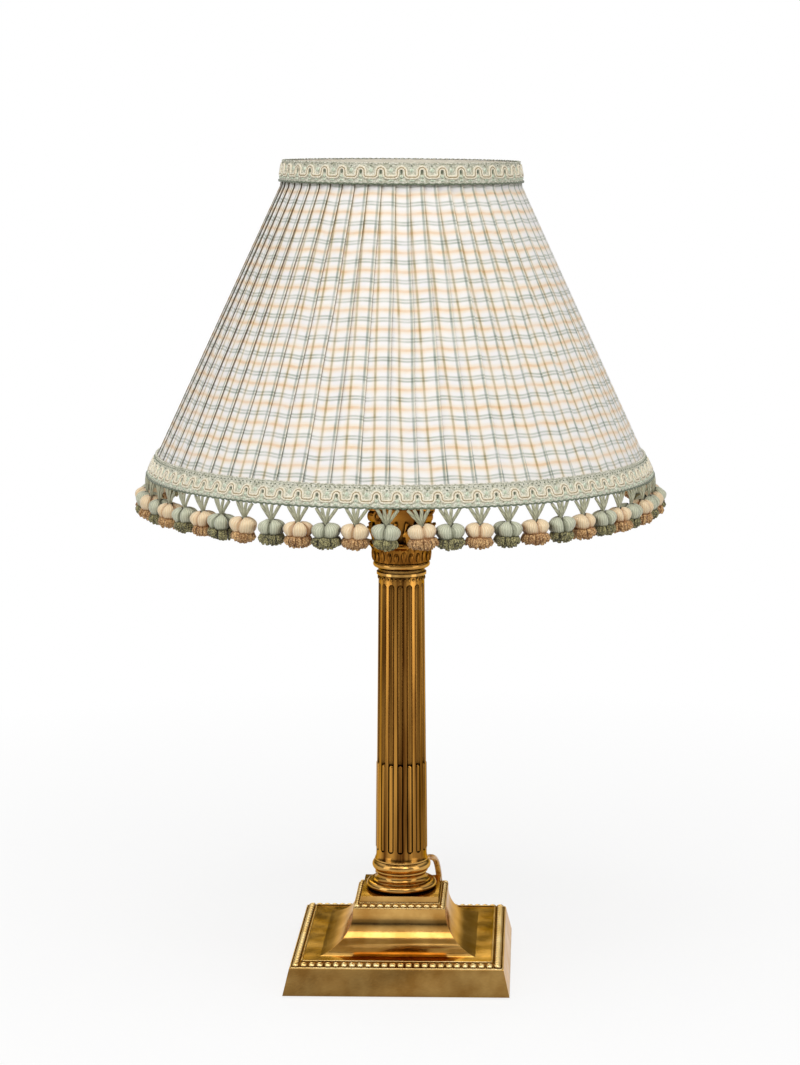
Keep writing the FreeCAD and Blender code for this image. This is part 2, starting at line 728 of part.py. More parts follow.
def pleat_step(z):
    return PLEAT_STEP * cloth_r(z) / SHADE_RIM_R


def pleat_wire(z):
    """Saw-toothed ring: each pleat's left edge, seen from outside, lies over its neighbour."""
    points = []
    for k in range(PLEATS):
        turn = 360.0 * k / PLEATS - 90
        points.append(polar(cloth_r(z) - pleat_step(z), turn - 0.25, z))
        points.append(polar(cloth_r(z), turn, z))
    return Part.makePolygon(points + points[:1])


def cloth_back(z):
    return cloth_r(z) - pleat_step(z) - CLOTH_T


def back_wire(z):
    """Many-sided ring behind the pleats, two sides to each."""
    points = [polar(cloth_back(z), 180.0 * k / PLEATS - 90, z) for k in range(2 * PLEATS)]
    return Part.makePolygon(points + points[:1])


def shade_cover():
    """Knife-pleated cloth: a saw-toothed outside and a plain inside, all in flat faces."""
    low = RIM_Z + SOFT_GAP
    high = TOP_Z - SOFT_GAP
    outside = []
    inside = []
    for a, b in ((low, COLLAR_BAND_Z), (COLLAR_BAND_Z, high)):
        outside.append(Part.makeLoft([pleat_wire(a), pleat_wire(b)], True, True))
        inside.append(Part.makeLoft([back_wire(a), back_wire(b)], True, True))
    return outside[0].fuse(outside[1]).cut(inside[0].fuse(inside[1]))


def wire_r(z):
    """Radius of the frame's wires, inside the cloth."""
    return cloth_back(z) - SOFT_GAP - WIRE_R * math.sqrt(1 + SHADE_SLOPE ** 2)


FRAME_LOW = RIM_Z + WIRE_R + 1.5
FRAME_TOP = TOP_Z - WIRE_R - 1.0


def frame_ring(z):
    return Part.makeTorus(wire_r(z), WIRE_R, V(0, 0, z))


def frame_struts():
    """Straight wires from ring to ring, bent where the upper band stands steeper."""
    low = V(wire_r(FRAME_LOW), 0, FRAME_LOW)
    bend = V(wire_r(COLLAR_BAND_Z), 0, COLLAR_BAND_Z)
    high = V(wire_r(FRAME_TOP), 0, FRAME_TOP)
    first = (bend - low).normalize() * (WIRE_R + BUTT_GAP)
    last = (high - bend).normalize() * (WIRE_R + BUTT_GAP)
    strut = rod_between(low + first, bend, WIRE_R)
    strut = strut.fuse(Part.makeSphere(WIRE_R, bend))
    strut = strut.fuse(rod_between(bend, high - last, WIRE_R)).removeSplitter()
    return group(around(strut, STRUTS, 360.0 / STRUTS / 2 + 90))


def shade_lining():
    """Thin cone inside the frame, slit where the fitter's arms pass."""
    gap = SOFT_GAP + WIRE_R * math.sqrt(1 + SHADE_SLOPE ** 2)
    low = RIM_Z + SOFT_GAP
    high = TOP_Z - SOFT_GAP
    radii = [wire_r(z) - gap for z in (low, COLLAR_BAND_Z, high)]
    cone = lathe(
        (radii[0] - LINING_T, low),
        (radii[0], low),
        (radii[1], COLLAR_BAND_Z),
        (radii[2], high),
        (radii[2] - LINING_T, high),
        (radii[1] - LINING_T, COLLAR_BAND_Z))
    return cone.cut(fitter_arms(ARM_R + SOFT_GAP))


def gimp(z_low, height):
    """Braid band on the outside of the pleats, thicker along its two edges."""
    z_high = z_low + height
    low = cloth_r(z_low) + AIR
    high = cloth_r(z_high) + AIR
    lean = (low - high) / height
    edge = height * 0.1
    face = GIMP_T * 0.7
    return lathe(
        (low, z_low),
        ((low + GIMP_T * 0.8, z_low + 0.1), (low + GIMP_T - lean * edge * 0.5, z_low + edge * 0.5)),
        (low + face - lean * edge, z_low + edge),
        (high + face + lean * edge, z_high - edge),
        (high + GIMP_T + lean * edge * 0.5, z_high - edge * 0.5),
        ((high + GIMP_T * 0.8, z_high - 0.1), (high, z_high)))


def fitter_ring():
    """Flat ring that sits on the lampholder's shoulder."""
    return tube(FITTER_R, SKIRT_R + FITTER_GAP, FITTER_T, FITTER_Z)


def fitter_arms(radius=ARM_R):
    """Wires that carry the lower ring of the frame from the fitter."""
    start = V(FITTER_R + ARM_R * 0.2, 0, FITTER_Z + FITTER_T / 2)
    end = V(wire_r(FRAME_LOW), 0, FRAME_LOW)
    way = (end - start).normalize()
    arm = rod_between(start, end - way * (WIRE_R + BUTT_GAP), radius)
    return group(around(arm, ARMS, 90))


# ---- fringe -------------------------------------------------------------------------------------

def tassel():
    """Fan of strands, a plump knot and a cut skirt, hanging on the -Y side of the rim."""
    top = RIM_Z - SOFT_GAP
    knot_top = top - STRAND_H
    knot_low = knot_top - BULB_TASSEL_H
    end = knot_low - SKIRT_TASSEL_H
    radii = [(knot_top + 0.4, 1.3), (knot_top - 0.3, TASSEL_R * 0.72), (knot_top - 3.4, TASSEL_R),
             (knot_top - 6.4, TASSEL_R * 0.94), (knot_low, TASSEL_R * 0.5), (knot_low - 1.2, SKIRT_TASSEL_R * 0.86),
             (end, SKIRT_TASSEL_R)]
    rings = []
    for z, radius in radii:
        corners = [polar(radius, 360.0 * k / TASSEL_SIDES, z) for k in range(TASSEL_SIDES)]
        rings.append(Part.makePolygon(corners + corners[:1]))
    knot = Part.makeLoft(rings, True, True)
    spread = math.pi * SHADE_RIM_R / TASSELS - 0.4
    fan = [V(-spread, -0.7, top), V(spread, -0.7, top), V(0.9, -0.7, knot_top), V(-0.9, -0.7, knot_top)]
    strands = Part.Face(Part.makePolygon(fan + fan[:1])).extrude(V(0, 1.4, 0))
    whole = knot.fuse(strands)
    whole.translate(V(0, -SHADE_RIM_R - TASSEL_OUT, 0))
    return whole


def tassels(first):
    """Every second tassel of the ring, in one colour."""
    step = 360.0 / TASSELS
    return group(around(tassel(), TASSELS // 2, first * step))


# ---- cord ---------------------------------------------------------------------------------------

def corner_arc(start, corner, end):
    """Arc that leaves start towards corner and reaches end from it, both being equally far."""
    chord_mid = (start + end) / 2
    to_mid = chord_mid - corner
    leg = (corner - start).Length
    half_turn = (corner - start).getAngle(end - corner) / 2
    radius = leg / math.tan(half_turn)
    reach = radius * (1 / math.cos(half_turn) - 1)
    return Part.Arc(start, corner + to_mid.normalize() * reach, end).toShape(), radius


def route(points):
    """Straight runs joined by arcs, each as large as its two runs allow, and the arcs' radii."""
    edges = []
    radii = []
    here = points[0]
    for before, corner, after in zip(points, points[1:], points[2:]):
        back = (before - corner).normalize()
        ahead = (after - corner).normalize()
        leg = 0.45 * min((before - corner).Length, (after - corner).Length)
        start = corner + back * leg
        end = corner + ahead * leg
        arc, radius = corner_arc(start, corner, end)
        edges.append(Part.LineSegment(here, start).toShape())
        edges.append(arc)
        radii.append(radius)
        here = end
    edges.append(Part.LineSegment(here, points[-1]).toShape())
    return edges, radii


def cord_tube(edges, radius, facing):
    """Round tube along edges that leave their first point in the direction facing."""
    path = Part.Wire(edges)
    start = path.OrderedVertexes[0].Point
    section = Part.Wire(Part.makeCircle(radius, start, facing))
    return path.makePipeShell([section], True, False)


def biarc(p0, t0, p1, t1):
    """Two arcs that join two points with given directions."""
    way = p1 - p0
    a = 2 * (t0.dot(t1) - 1)
    b = -2 * way.dot(t0 + t1)
    c = way.dot(way)
    leg = (-b - math.sqrt(b * b - 4 * a * c)) / (2 * a)
    q0 = p0 + t0 * leg
    q1 = p1 - t1 * leg
    joint = (q0 + q1) / 2
    return [corner_arc(p0, q0, joint)[0], corner_arc(joint, q1, p1)[0]]


COIL_OUT = COIL_MID_R + LAYER_TURNS * COIL_PITCH / 2
COIL_LEAD = 2 * CORD_R
EXIT_TURN = 1 / 6       # part of a turn past the last layer, so that the end points to the plug


def coil_state(turns):
    """Point and direction on the coil's axis after so many turns from its outer start."""
    span = LAYER_TURNS
    layer = min(int(turns / span), COIL_LAYERS - 1)
    inside = turns - layer * span
    inward = layer % 2 == 0
    shrink = COIL_PITCH * (inside if inward else span - inside)
    slope = -COIL_PITCH if inward else COIL_PITCH
    radius = COIL_OUT - shrink
    nearest = min(max(round(turns / span), 1), COIL_LAYERS - 1)
    phase = (turns - nearest * span + 0.25) / 0.5
    phase = min(max(phase, 0.0), 1.0)
    lift = COIL_LIFT * (nearest - 1 + (1 - math.cos(math.pi * phase)) / 2)
    climb = COIL_LIFT * math.pi * math.sin(math.pi * phase) if 0.0 < phase < 1.0 else 0.0
    turn = 2 * math.pi * turns
    out = V(math.cos(turn), math.sin(turn), 0)
    on = V(-math.sin(turn), math.cos(turn), 0)
    point = V(COIL_X, COIL_Y, CORD_FLOOR) + out * radius + V(0, 0, lift)
    at_turning_point = abs(turns - nearest * span) < 1e-6 or turns < 1e-6
    if at_turning_point:
        slope = 0.0
    direction = out * slope + on * (2 * math.pi * radius) + V(0, 0, climb)
    return point, direction.normalize()


def coil_stations():
    """Turn counts at which the coil's biarcs meet: half turns, and quarters where it climbs."""
    stations = [0.0]
    total = LAYER_TURNS * COIL_LAYERS + EXIT_TURN
    for k in range(1, COIL_LAYERS):
        middle = k * LAYER_TURNS
        stations += [middle - 0.25, middle, middle + 0.25]
    filled = []
    for a, b in zip(stations, stations[1:] + [total]):
        count = max(1, round((b - a) / 0.5))
        filled += [a + (b - a) * k / count for k in range(count)]
    filled.append(total)
    return filled


def coil_edges():
    states = [coil_state(turns) for turns in coil_stations()]
    edges = []
    for (p0, t0), (p1, t1) in zip(states, states[1:]):
        edges += biarc(p0, t0, p1, t1)
    first, heading = states[0]
    last, leaving = states[-1]
    lead_in = Part.LineSegment(first - heading * COIL_LEAD, first).toShape()
    lead_out = Part.LineSegment(last, last + leaving * COIL_LEAD).toShape()
    return [lead_in] + edges + [lead_out]


def coil_gap(edges):
    """Least gap of the coiled tube to itself, measured on points along its axis."""
    points = []
    lengths = []
    gone = 0.0
    for edge in edges:
        count = max(2, int(edge.Length / 3))
        for point in edge.discretize(count)[:-1]:
            if points:
                gone += (point - points[-1]).Length
            points.append(point)
            lengths.append(gone)
    least = 1e9
    for i, p in enumerate(points):
        for j in range(i + 1, len(points)):
            if lengths[j] - lengths[i] > 12 * CORD_R:
                least = min(least, (points[j] - p).Length)
    return least - 2 * CORD_R


COIL_EDGES = coil_edges()
COIL_START = COIL_EDGES[0].Vertexes[0].Point
COIL_END = COIL_EDGES[-1].Vertexes[-1].Point
COIL_END_WAY = (COIL_EDGES[-1].Vertexes[-1].Point - COIL_EDGES[-1].Vertexes[0].Point).normalize()

PLUG_AT = V(PLUG_X, PLUG_Y, 0)
LEAD_POINTS = [
    polar(BUSH_OUT, BUSH_ANGLE, BUSH_Z),
    polar(BUSH_OUT + 8.0, BUSH_ANGLE, BUSH_Z),
    V(20.4, 29.4, 58.4),
    V(21.8, 36.4, 48.0),
    V(22.5, 42.4, 35.4),
    V(22.8, 49.6, 26.2),
    V(22.6, 59.0, 22.9),
    V(22.1, 67.4, 17.4),
    V(21.5, 74.4, 9.3),
    V(21.1, 80.4, 4.1),
    COIL_START - BACK * 6.8,
    COIL_START]


def lead_out_points():
    """From the coil's end, down to the table, to the plug's grip."""
    grip = PLUG_AT + V(0, -GRIP_L, PLUG_T / 2)
    return [COIL_END, COIL_END + COIL_END_WAY * 6.6, PLUG_AT + V(4.3, -44.4, 11.6), PLUG_AT + V(0.7, -37.4, 7.9),
            grip - BACK * 7.2, grip]


def inner_cord():
    """The cord inside: in through the bush, round a bend and up the rod to the terminals."""
    out = polar(1, BUSH_ANGLE, 0)
    start = out * BUSH_OUT + V(0, 0, BUSH_Z)
    turn_in = out * INNER_BEND + V(0, 0, BUSH_Z)
    turn_up = V(0, 0, BUSH_Z + INNER_BEND)
    top = V(0, 0, BLOCK_Z - INNER_END)
    edges = [Part.LineSegment(start, turn_in).toShape(),
             corner_arc(turn_in, V(0, 0, BUSH_Z), turn_up)[0],
             Part.LineSegment(turn_up, top).toShape()]
    return cord_tube(edges, CORD_R, out)


def cord_bush():
    out = polar(1, BUSH_ANGLE, 0)
    start = out * BUSH_IN + V(0, 0, BUSH_Z)
    length = BUSH_OUT - BUSH_IN
    sleeve = cylinder(BUSH_R - BUSH_FIT, length, start, out)
    return sleeve.cut(cylinder(CORD_R + BUSH_FIT, length, start, out))


# ---- plug ---------------------------------------------------------------------------------------

def plug_body():
    """Slim two-pin plug that lies flat on the table, narrower at its cord end."""
    back = PLUG_AT.y
    front = back + PLUG_L
    waist = PLUG_W * 0.3
    points = [V(-waist, 0, 0), V(waist, 0, 0), V(PLUG_W / 2, PLUG_L * 0.45, 0), V(PLUG_W / 2, PLUG_L, 0),
              V(-PLUG_W / 2, PLUG_L, 0), V(-PLUG_W / 2, PLUG_L * 0.45, 0)]
    shell = Part.Face(Part.makePolygon(points + points[:1])).extrude(V(0, 0, PLUG_T))
    shell.translate(V(PLUG_AT.x, back, 0))
    long_edges = [e for e in shell.Edges
                  if abs(e.Vertexes[0].Z - e.Vertexes[1].Z) < 0.1 and e.CenterOfMass.y > back + 1
                  and e.CenterOfMass.y < front - 1]
    return shell.makeFillet(2.5, long_edges)


def plug_pins():
    pins = []
    for side in (-1, 1):
        start = V(PLUG_AT.x + side * PLUG_PIN_GAP / 2, PLUG_AT.y + PLUG_L, PLUG_T / 2)
        pin = cylinder(PLUG_PIN_R, PLUG_PIN_L - PLUG_PIN_R, start, BACK)
        tip = Part.makeSphere(PLUG_PIN_R, start + V(0, PLUG_PIN_L - PLUG_PIN_R, 0))
        pins.append(pin.fuse(tip).removeSplitter())
    return group(pins)


def plug_grip():
    """Tapered strain relief between cord and plug."""
    start = PLUG_AT + V(0, -GRIP_L, PLUG_T / 2)
    return Part.makeCone(CORD_R + 0.5, GRIP_R, GRIP_L, start, BACK)


# ---- build --------------------------------------------------------------------------------------

def build():
    os.makedirs("parts", exist_ok=True)
    save("felt_pad", square_plate(FELT_SIDE, FELT_T, 0, 3))
    save("backing_board", square_plate(FELT_SIDE, BOARD_T, BOARD_Z, 3))
    save("base_weight", base_weight())
    save("base_casting", base_casting())
    save("column_foot", column_foot())
    save("fluted_shaft", fluted_shaft())
    save("shaft_collar", shaft_collar())
    save("capital", capital())
    save("threaded_rod", threaded_rod())
    save("rod_washer", tube(WASHER_R, ROD_R + RUN, WASHER_T, WASHER_Z))
    save("rod_nut", hexagon(NUT_AF, NUT_H, NUT_Z, ROD_R + RUN))
    save("top_cap", top_cap())
    save("lock_nut", hexagon(LOCK_AF, LOCK_H, LOCK_Z, ROD_R + RUN))
    save("lampholder_cap", lampholder_cap())
    save("lampholder_body", lampholder_body())
    save("terminal_block", terminal_block())
    save("terminal_screws", terminal_screws())
    save("contact_plungers", contact_pair(PLUNGER_R, PLUNGER_H, PLUNGER_Z))
    save("plunger_springs", contact_pair(PLUNGER_R - 0.2, SPRING_H, PLUNGER_Z - SPRING_H, PLUNGER_R - 0.8))
    save("switch_bar", cylinder(BAR_R, BAR_LENGTH, V(BAR_TRAVEL / 2 - BAR_LENGTH / 2, 0, BAR_Z), RIGHT))
    save("lampholder_skirt", lampholder_skirt())
    save("shade_ring", shade_ring())
    save("bulb_cap", bulb_cap())
    save("bulb_contacts", contact_pair(PLUNGER_R, SOLDER_H, BULB_Z - SOLDER_H))
    save("bulb_glass", bulb_glass())
    save("bulb_stem", bulb_stem())
    save("fitter_ring", fitter_ring())
    save("fitter_arms", fitter_arms())
    save("frame_bottom_ring", frame_ring(FRAME_LOW))
    save("frame_top_ring", frame_ring(FRAME_TOP))
    save("frame_struts", frame_struts())
    save("shade_lining", shade_lining())
    save("shade_cover", shade_cover())
    save("gimp_top", gimp(TOP_Z - GIMP_H, GIMP_H))
    save("gimp_bottom", gimp(RIM_Z, GIMP_H))
    save("tassels_green", tassels(0))
    save("tassels_peach", tassels(1))
    save("inner_cord", inner_cord())
    save("cord_bush", cord_bush())
    build_cord()
    save("plug_grip", plug_grip())
    save("plug_body", plug_body())
    save("plug_pins", plug_pins())


def build_cord():
    section = math.pi * CORD_R ** 2
    lead, lead_radii = route(LEAD_POINTS)
    tail, tail_radii = route(lead_out_points())
    lead_in = (LEAD_POINTS[1] - LEAD_POINTS[0]).normalize()
    nodes = (("cord_lead", lead, lead_in),
             ("cord_coil", COIL_EDGES, BACK),
             ("cord_tail", tail, COIL_END_WAY))
    total = 0.0
    for node, edges, facing in nodes:
        shape = cord_tube(edges, CORD_R, facing)
        length = sum(edge.Length for edge in edges)
        total += length
        print(node, "length %.0f mm, volume over section x length %.4f" % (length, shape.Volume / section / length))
        save(node, shape)
    print("cord total %.0f mm" % total)
    print("radii of the lead", [round(r, 1) for r in lead_radii], "tail", [round(r, 1) for r in tail_radii])
    print("coil's least gap to itself %.2f mm" % coil_gap(COIL_EDGES))


build()
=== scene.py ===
"""Looks of the column table lamp: cloth, trimmings, silk, flex and finishes round the fixed solids.

Metres in the scene, millimetres in the sizes below, +Z up, the front of the lamp faces -Y.
"""
import math
import random

import bpy
from mathutils import Matrix, Vector, noise


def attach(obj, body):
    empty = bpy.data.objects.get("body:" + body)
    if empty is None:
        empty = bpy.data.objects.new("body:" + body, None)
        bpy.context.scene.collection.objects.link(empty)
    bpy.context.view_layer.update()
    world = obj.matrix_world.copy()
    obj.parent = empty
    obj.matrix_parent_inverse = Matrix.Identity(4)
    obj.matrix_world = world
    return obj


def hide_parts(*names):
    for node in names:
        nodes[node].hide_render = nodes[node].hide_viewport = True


MM = 0.001
TURN = 2 * math.pi
UP = Vector((0, 0, 1))

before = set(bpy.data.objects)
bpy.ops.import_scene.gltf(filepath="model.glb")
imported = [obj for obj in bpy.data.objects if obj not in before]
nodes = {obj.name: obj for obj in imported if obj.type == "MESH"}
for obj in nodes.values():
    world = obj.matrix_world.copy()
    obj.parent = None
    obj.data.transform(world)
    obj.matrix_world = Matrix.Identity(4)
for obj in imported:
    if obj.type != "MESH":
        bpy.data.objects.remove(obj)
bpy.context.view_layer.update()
scene = bpy.context.scene
scene.view_settings.view_transform = "Standard"


# ---- camera -------------------------------------------------------------------------------------

EYE = (0.0803, -1.6000, 0.5282)
LENS = 89.9
FRAME_SHIFT = -0.1226
HEADING = 0.06          # degrees about the upright
TILT = 80.93            # degrees from straight down
ROLL = 0.44             # degrees about the line of sight


def make_camera():
    """The photograph's camera, fitted to the outline of shade, column and base."""
    data = bpy.data.cameras.new("photo_view")
    data.lens = LENS
    data.sensor_width = 36
    data.shift_x = FRAME_SHIFT
    camera = bpy.data.objects.new("photo_view", data)
    scene.collection.objects.link(camera)
    turned = (Matrix.Rotation(math.radians(HEADING), 4, "Z")
              @ Matrix.Rotation(math.radians(TILT), 4, "X")
              @ Matrix.Rotation(math.radians(ROLL), 4, "Z"))
    camera.matrix_world = Matrix.Translation(EYE) @ turned
    scene.camera = camera


make_camera()


# ---- helpers for shapes -------------------------------------------------------------------------

def polar(radius, angle, z):
    return Vector((radius * math.cos(angle), radius * math.sin(angle), z))


def sideways(angle):
    """Level direction along a circle at this angle."""
    return Vector((-math.sin(angle), math.cos(angle), 0))


class Shape:
    """One piece's points, faces, cloth coordinates and material numbers, in millimetres."""

    def __init__(self):
        self.points = []
        self.uvs = []
        self.faces = []
        self.marks = []

    def grid(self, rows, uvs=None, mark=0, ring=False):
        """Faces between rows of points; ring closes each row."""
        start = len(self.points)
        wide = len(rows[0])
        for j, row in enumerate(rows):
            self.points += row
            self.uvs += uvs[j] if uvs else [(i / wide, j / len(rows)) for i in range(wide)]
        for j in range(len(rows) - 1):
            for i in range(wide if ring else wide - 1):
                a = start + j * wide + i
                b = start + j * wide + (i + 1) % wide
                self.faces.append((a, b, b + wide, a + wide))
                self.marks.append(mark)

    def tube(self, path, normals, radius, sides=6, mark=0, closed=False, flat=1.0, wrap=1.0):
        """Tube along a path; normals give its up side, and flat squeezes it along them."""
        rows = []
        count = len(path)
        for i, point in enumerate(path):
            before = path[i - 1] if closed or i else path[0]
            after = path[(i + 1) % count] if closed or i < count - 1 else path[-1]
            way = (after - before).normalized()
            up = (normals[i] - way * normals[i].dot(way)).normalized()
            side = way.cross(up)
            size = radius[i] if isinstance(radius, list) else radius
            rows.append([point + up * (size * flat * math.cos(TURN * k / sides))
                         + side * (size * math.sin(TURN * k / sides)) for k in range(sides)])
        if closed:
            rows.append(rows[0])
        uvs = [[(wrap * k / sides, j) for k in range(sides)] for j in range(len(rows))]
        self.grid(rows, uvs, mark, ring=True)

    def blob(self, centre, axes, sizes, mark=0):
        """Rounded lump with three half sizes along three axes, its two ends slightly open."""
        rings = 5
        sides = 8
        rows = []
        for j in range(rings):
            up = math.pi * (0.04 + 0.92 * j / (rings - 1))
            rows.append([centre - axes[2] * (sizes[2] * math.cos(up))
                         + axes[0] * (sizes[0] * math.sin(up) * math.cos(TURN * k / sides))
                         + axes[1] * (sizes[1] * math.sin(up) * math.sin(TURN * k / sides))
                         for k in range(sides)])
        self.grid(rows, None, mark, ring=True)

    def piece(self, name, materials, body):
        """The Blender object, riding on its body with its material slot told."""
        mesh = bpy.data.meshes.new(name)
        mesh.from_pydata([p * MM for p in self.points], [], self.faces)
        mesh.polygons.foreach_set("material_index", self.marks)
        mesh.polygons.foreach_set("use_smooth", [True] * len(self.faces))
        layer = mesh.uv_layers.new(name="cloth")
        for loop in mesh.loops:
            layer.data[loop.index].uv = self.uvs[loop.vertex_index]
        for material in materials:
            mesh.materials.append(material)
        mesh.update()
        made = bpy.data.objects.new(name, mesh)
        scene.collection.objects.link(made)
        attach(made, body)
        return made


# ---- helpers for materials ----------------------------------------------------------------------

def rgb(red, green, blue):
    """A written colour, 0 to 255, as the linear one that shaders take."""
    return tuple(((c / 255 + 0.055) / 1.055) ** 2.4 if c > 10 else c / 255 / 12.92
                 for c in (red, green, blue)) + (1.0,)


class Finish:
    """A material, and short ways to add nodes to it."""

    def __init__(self, name):
        self.material = bpy.data.materials.new(name)
        self.material.use_nodes = True
        self.tree = self.material.node_tree
        self.shader = self.tree.nodes["Principled BSDF"]
        self.place = self.node("TexCoord").outputs["Object"]

    def feed(self, socket, value):
        """Link a socket to a socket, or set a plain value on it."""
        if isinstance(value, bpy.types.NodeSocket):
            self.tree.links.new(value, socket)
        else:
            socket.default_value = value

    def node(self, kind, values=None, **settings):
        made = self.tree.nodes.new("ShaderNode" + kind)
        for key, value in settings.items():
            setattr(made, key, value)
        for key, value in (values or {}).items():
            self.feed(made.inputs[key], value)
        return made

    def sum(self, operation, *values):
        return self.node("Math", dict(enumerate(values)), operation=operation).outputs[0]

    def mix(self, share, first, second, kind="MIX"):
        made = self.node("Mix", {0: share, 6: first, 7: second}, data_type="RGBA", blend_type=kind)
        return made.outputs[2]

    def noise(self, scale, detail=3.0, place=None):
        return self.node("TexNoise", {"Vector": place or self.place, "Scale": scale,
                                      "Detail": detail}).outputs[0]

    def cloth_place(self):
        """The piece's own two coordinates, along and across it."""
        uv = self.node("UVMap", uv_map="cloth").outputs[0]
        return self.node("SeparateXYZ", {0: uv}).outputs

    def hollows(self, reach, samples=6):
        """1 in the open, falling where other surfaces lie within reach."""
        return self.node("AmbientOcclusion", {"Distance": reach}, samples=samples).outputs["AO"]

    def span(self, value, low, high, to_low=0.0, to_high=1.0):
        """A value carried from one range to another, and held at its ends."""
        return self.node("MapRange", {0: value, 1: low, 2: high, 3: to_low, 4: to_high}).outputs[0]

    def bump(self, height, strength, distance, normal=None):
        values = {"Height": height, "Strength": strength, "Distance": distance}
        if normal:
            values["Normal"] = normal
        return self.node("Bump", values).outputs[0]

    def set(self, **values):
        for key, value in values.items():
            self.feed(self.shader.inputs[key.replace("_", " ")], value)
        return self.material


BRASS_EDGE = rgb(238, 210, 164)     # its colour at grazing angles


def brass(name, light, toned, dark, rough, round_off=0.0003, streaks=(1, 1, 1),
          deep=(0.3, 0.92), reach=0.005, grain=60, waves=0.0):
    """Polished cast brass: clouds of tone, hollows darkened by dark patina and painted shade, fine grain and
    eased edges.

    Hollows darken towards the dark colour, as dark patina and painted shade, over the span deep, within
    reach; streaks stretch the grain; waves is the height of the slow unevenness that polishing leaves.
    """
    f = Finish(name)
    drawn = f.node("Mapping", {"Vector": f.place, "Scale": streaks}).outputs[0]
    cloud = f.noise(grain, 5, drawn)
    hollow = f.hollows(reach, 8)
    colour = f.mix(f.span(cloud, 0.36, 0.64), light, toned)
    # Dark patina and painted shade: the colour darkens towards the dark one where surfaces lie close.
    colour = f.mix(f.span(hollow, *deep), dark, colour)
    smear = f.sum("MULTIPLY", f.noise(140, 4), 0.12)
    worn = f.span(hollow, 0.3, 0.9, 0.22, 0.0)
    eased = f.node("Bevel", {"Radius": round_off}, samples=4).outputs[0]
    if waves:
        eased = f.bump(f.noise(26, 1), 1.0, waves, eased)
    rough_now = f.sum("ADD", f.sum("ADD", smear, worn), rough)
    return f.set(Base_Color=colour, Metallic=1.0, Roughness=rough_now, Specular_Tint=BRASS_EDGE,
                 Normal=f.bump(f.noise(900, 2, drawn), 0.06, 0.0002, eased))


def plain(name, low, high, rough, grain=500, strength=0.15, metal=0.0, depth=0.0002):
    """A simple finish with a cloudy colour and a fine grain."""
    f = Finish(name)
    colour = f.mix(f.noise(60, 4), low, high)
    return f.set(Base_Color=colour, Metallic=metal, Roughness=rough,
                 Normal=f.bump(f.noise(grain, 3), strength, depth))


def thread_finish(name, low, high, twists, rough=0.55):
    """Twisted yarn or floss: slanting plies across the piece's own coordinates."""
    f = Finish(name)
    parts = f.cloth_place()
    slant = f.sum("ADD", f.sum("MULTIPLY", parts[0], twists), f.sum("MULTIPLY", parts[1], 0.5))
    ply = f.sum("ABSOLUTE", f.sum("SINE", f.sum("MULTIPLY", slant, math.pi)))
    tone = f.sum("ADD", f.sum("MULTIPLY", ply, 0.6), f.sum("MULTIPLY", f.noise(900, 3), 0.4))
    return f.set(Base_Color=f.mix(tone, low, high), Roughness=rough, Sheen_Weight=0.3,
                 Normal=f.bump(ply, 0.5, 0.0003))


# ---- finishes -----------------------------------------------------------------------------------

BRASS = brass("brass", rgb(208, 164, 94), rgb(176, 128, 62), rgb(50, 26, 6), 0.07, waves=0.0006)
# The shaft's copy of the brass: streaked drawn grain, with colours darker than the base's and flutes
# darkened over most of their width, as painted shade for the dark room they reflect.
BRASS_DRAWN_SHADED = brass("brass_shaft", rgb(192, 138, 62), rgb(86, 50, 16), rgb(24, 9, 2), 0.10, 0.0002,
                    streaks=(1, 1, 0.03), deep=(0.62, 0.97), reach=0.0035, grain=230)
# The capital's copy of the brass, darker than the base's: painted shade under the lampshade.
BRASS_UNDER_SHADE = brass("brass_dark", rgb(172, 118, 46), rgb(112, 68, 22), rgb(28, 12, 2), 0.16, 0.0002,
                   deep=(0.4, 0.95))
# Paler brass: the lampholder's and pins' own, and on the beads and fillets of the casting a painted
# highlight.
BRASS_PALE_AND_GLINT = brass("brass_pin", rgb(242, 216, 158), rgb(224, 188, 120), rgb(120, 80, 30), 0.16, 0.0001)
STEEL = plain("steel", rgb(170, 170, 172), rgb(196, 196, 196), 0.35, metal=1.0)
IRON = plain("iron", rgb(36, 36, 38), rgb(58, 56, 54), 0.7, grain=260, strength=0.5)
BOARD = plain("board", rgb(128, 104, 72), rgb(150, 124, 90), 0.9)
INSULATOR = plain("insulator", rgb(48, 30, 22), rgb(66, 42, 30), 0.3, strength=0.05)
ALUMINIUM = plain("aluminium", rgb(206, 206, 208), rgb(224, 224, 222), 0.25, metal=1.0)
WHITE_WIRE = plain("frame_wire", rgb(226, 222, 212), rgb(240, 236, 228), 0.45)
PLUG = plain("plug", rgb(176, 128, 54), rgb(198, 150, 72), 0.3, strength=0.06)
FELT = plain("felt", rgb(22, 60, 36), rgb(36, 82, 52), 0.95, grain=2200, strength=0.8, depth=0.0005)


def bulb_finish():
    """Pearl glass, faintly cloudy."""
    f = Finish("bulb_glass")
    return f.set(Base_Color=rgb(250, 248, 240), Roughness=f.span(f.noise(80), 0, 1, 0.28, 0.4),
                 Transmission_Weight=0.7, IOR=1.45)


def flex_finish():
    """Clear sleeve over gold cores that twist along it."""
    f = Finish("flex")
    wave = f.sum("SINE", f.sum("MULTIPLY", f.noise(180, 2), 14))
    colour = f.mix(f.span(wave, -1, 1), rgb(176, 112, 30), rgb(222, 168, 76))
    return f.set(Base_Color=colour, Roughness=0.22, Coat_Weight=0.6, Coat_Roughness=0.08,
                 Normal=f.bump(wave, 0.12, 0.0003))


CLOTH_UNIT = 100            # millimetres of cloth to one unit of its coordinates
CHECK_HIGH = 11.7           # the check's repeat up the cloth, mm
PEACH_AT = 5.85             # its peach band
PAIR_AT = 0.85              # its thin pairs, from each end
PAIR_TINT = rgb(156, 170, 152)
UPRIGHT_TINT = rgb(128, 146, 136)


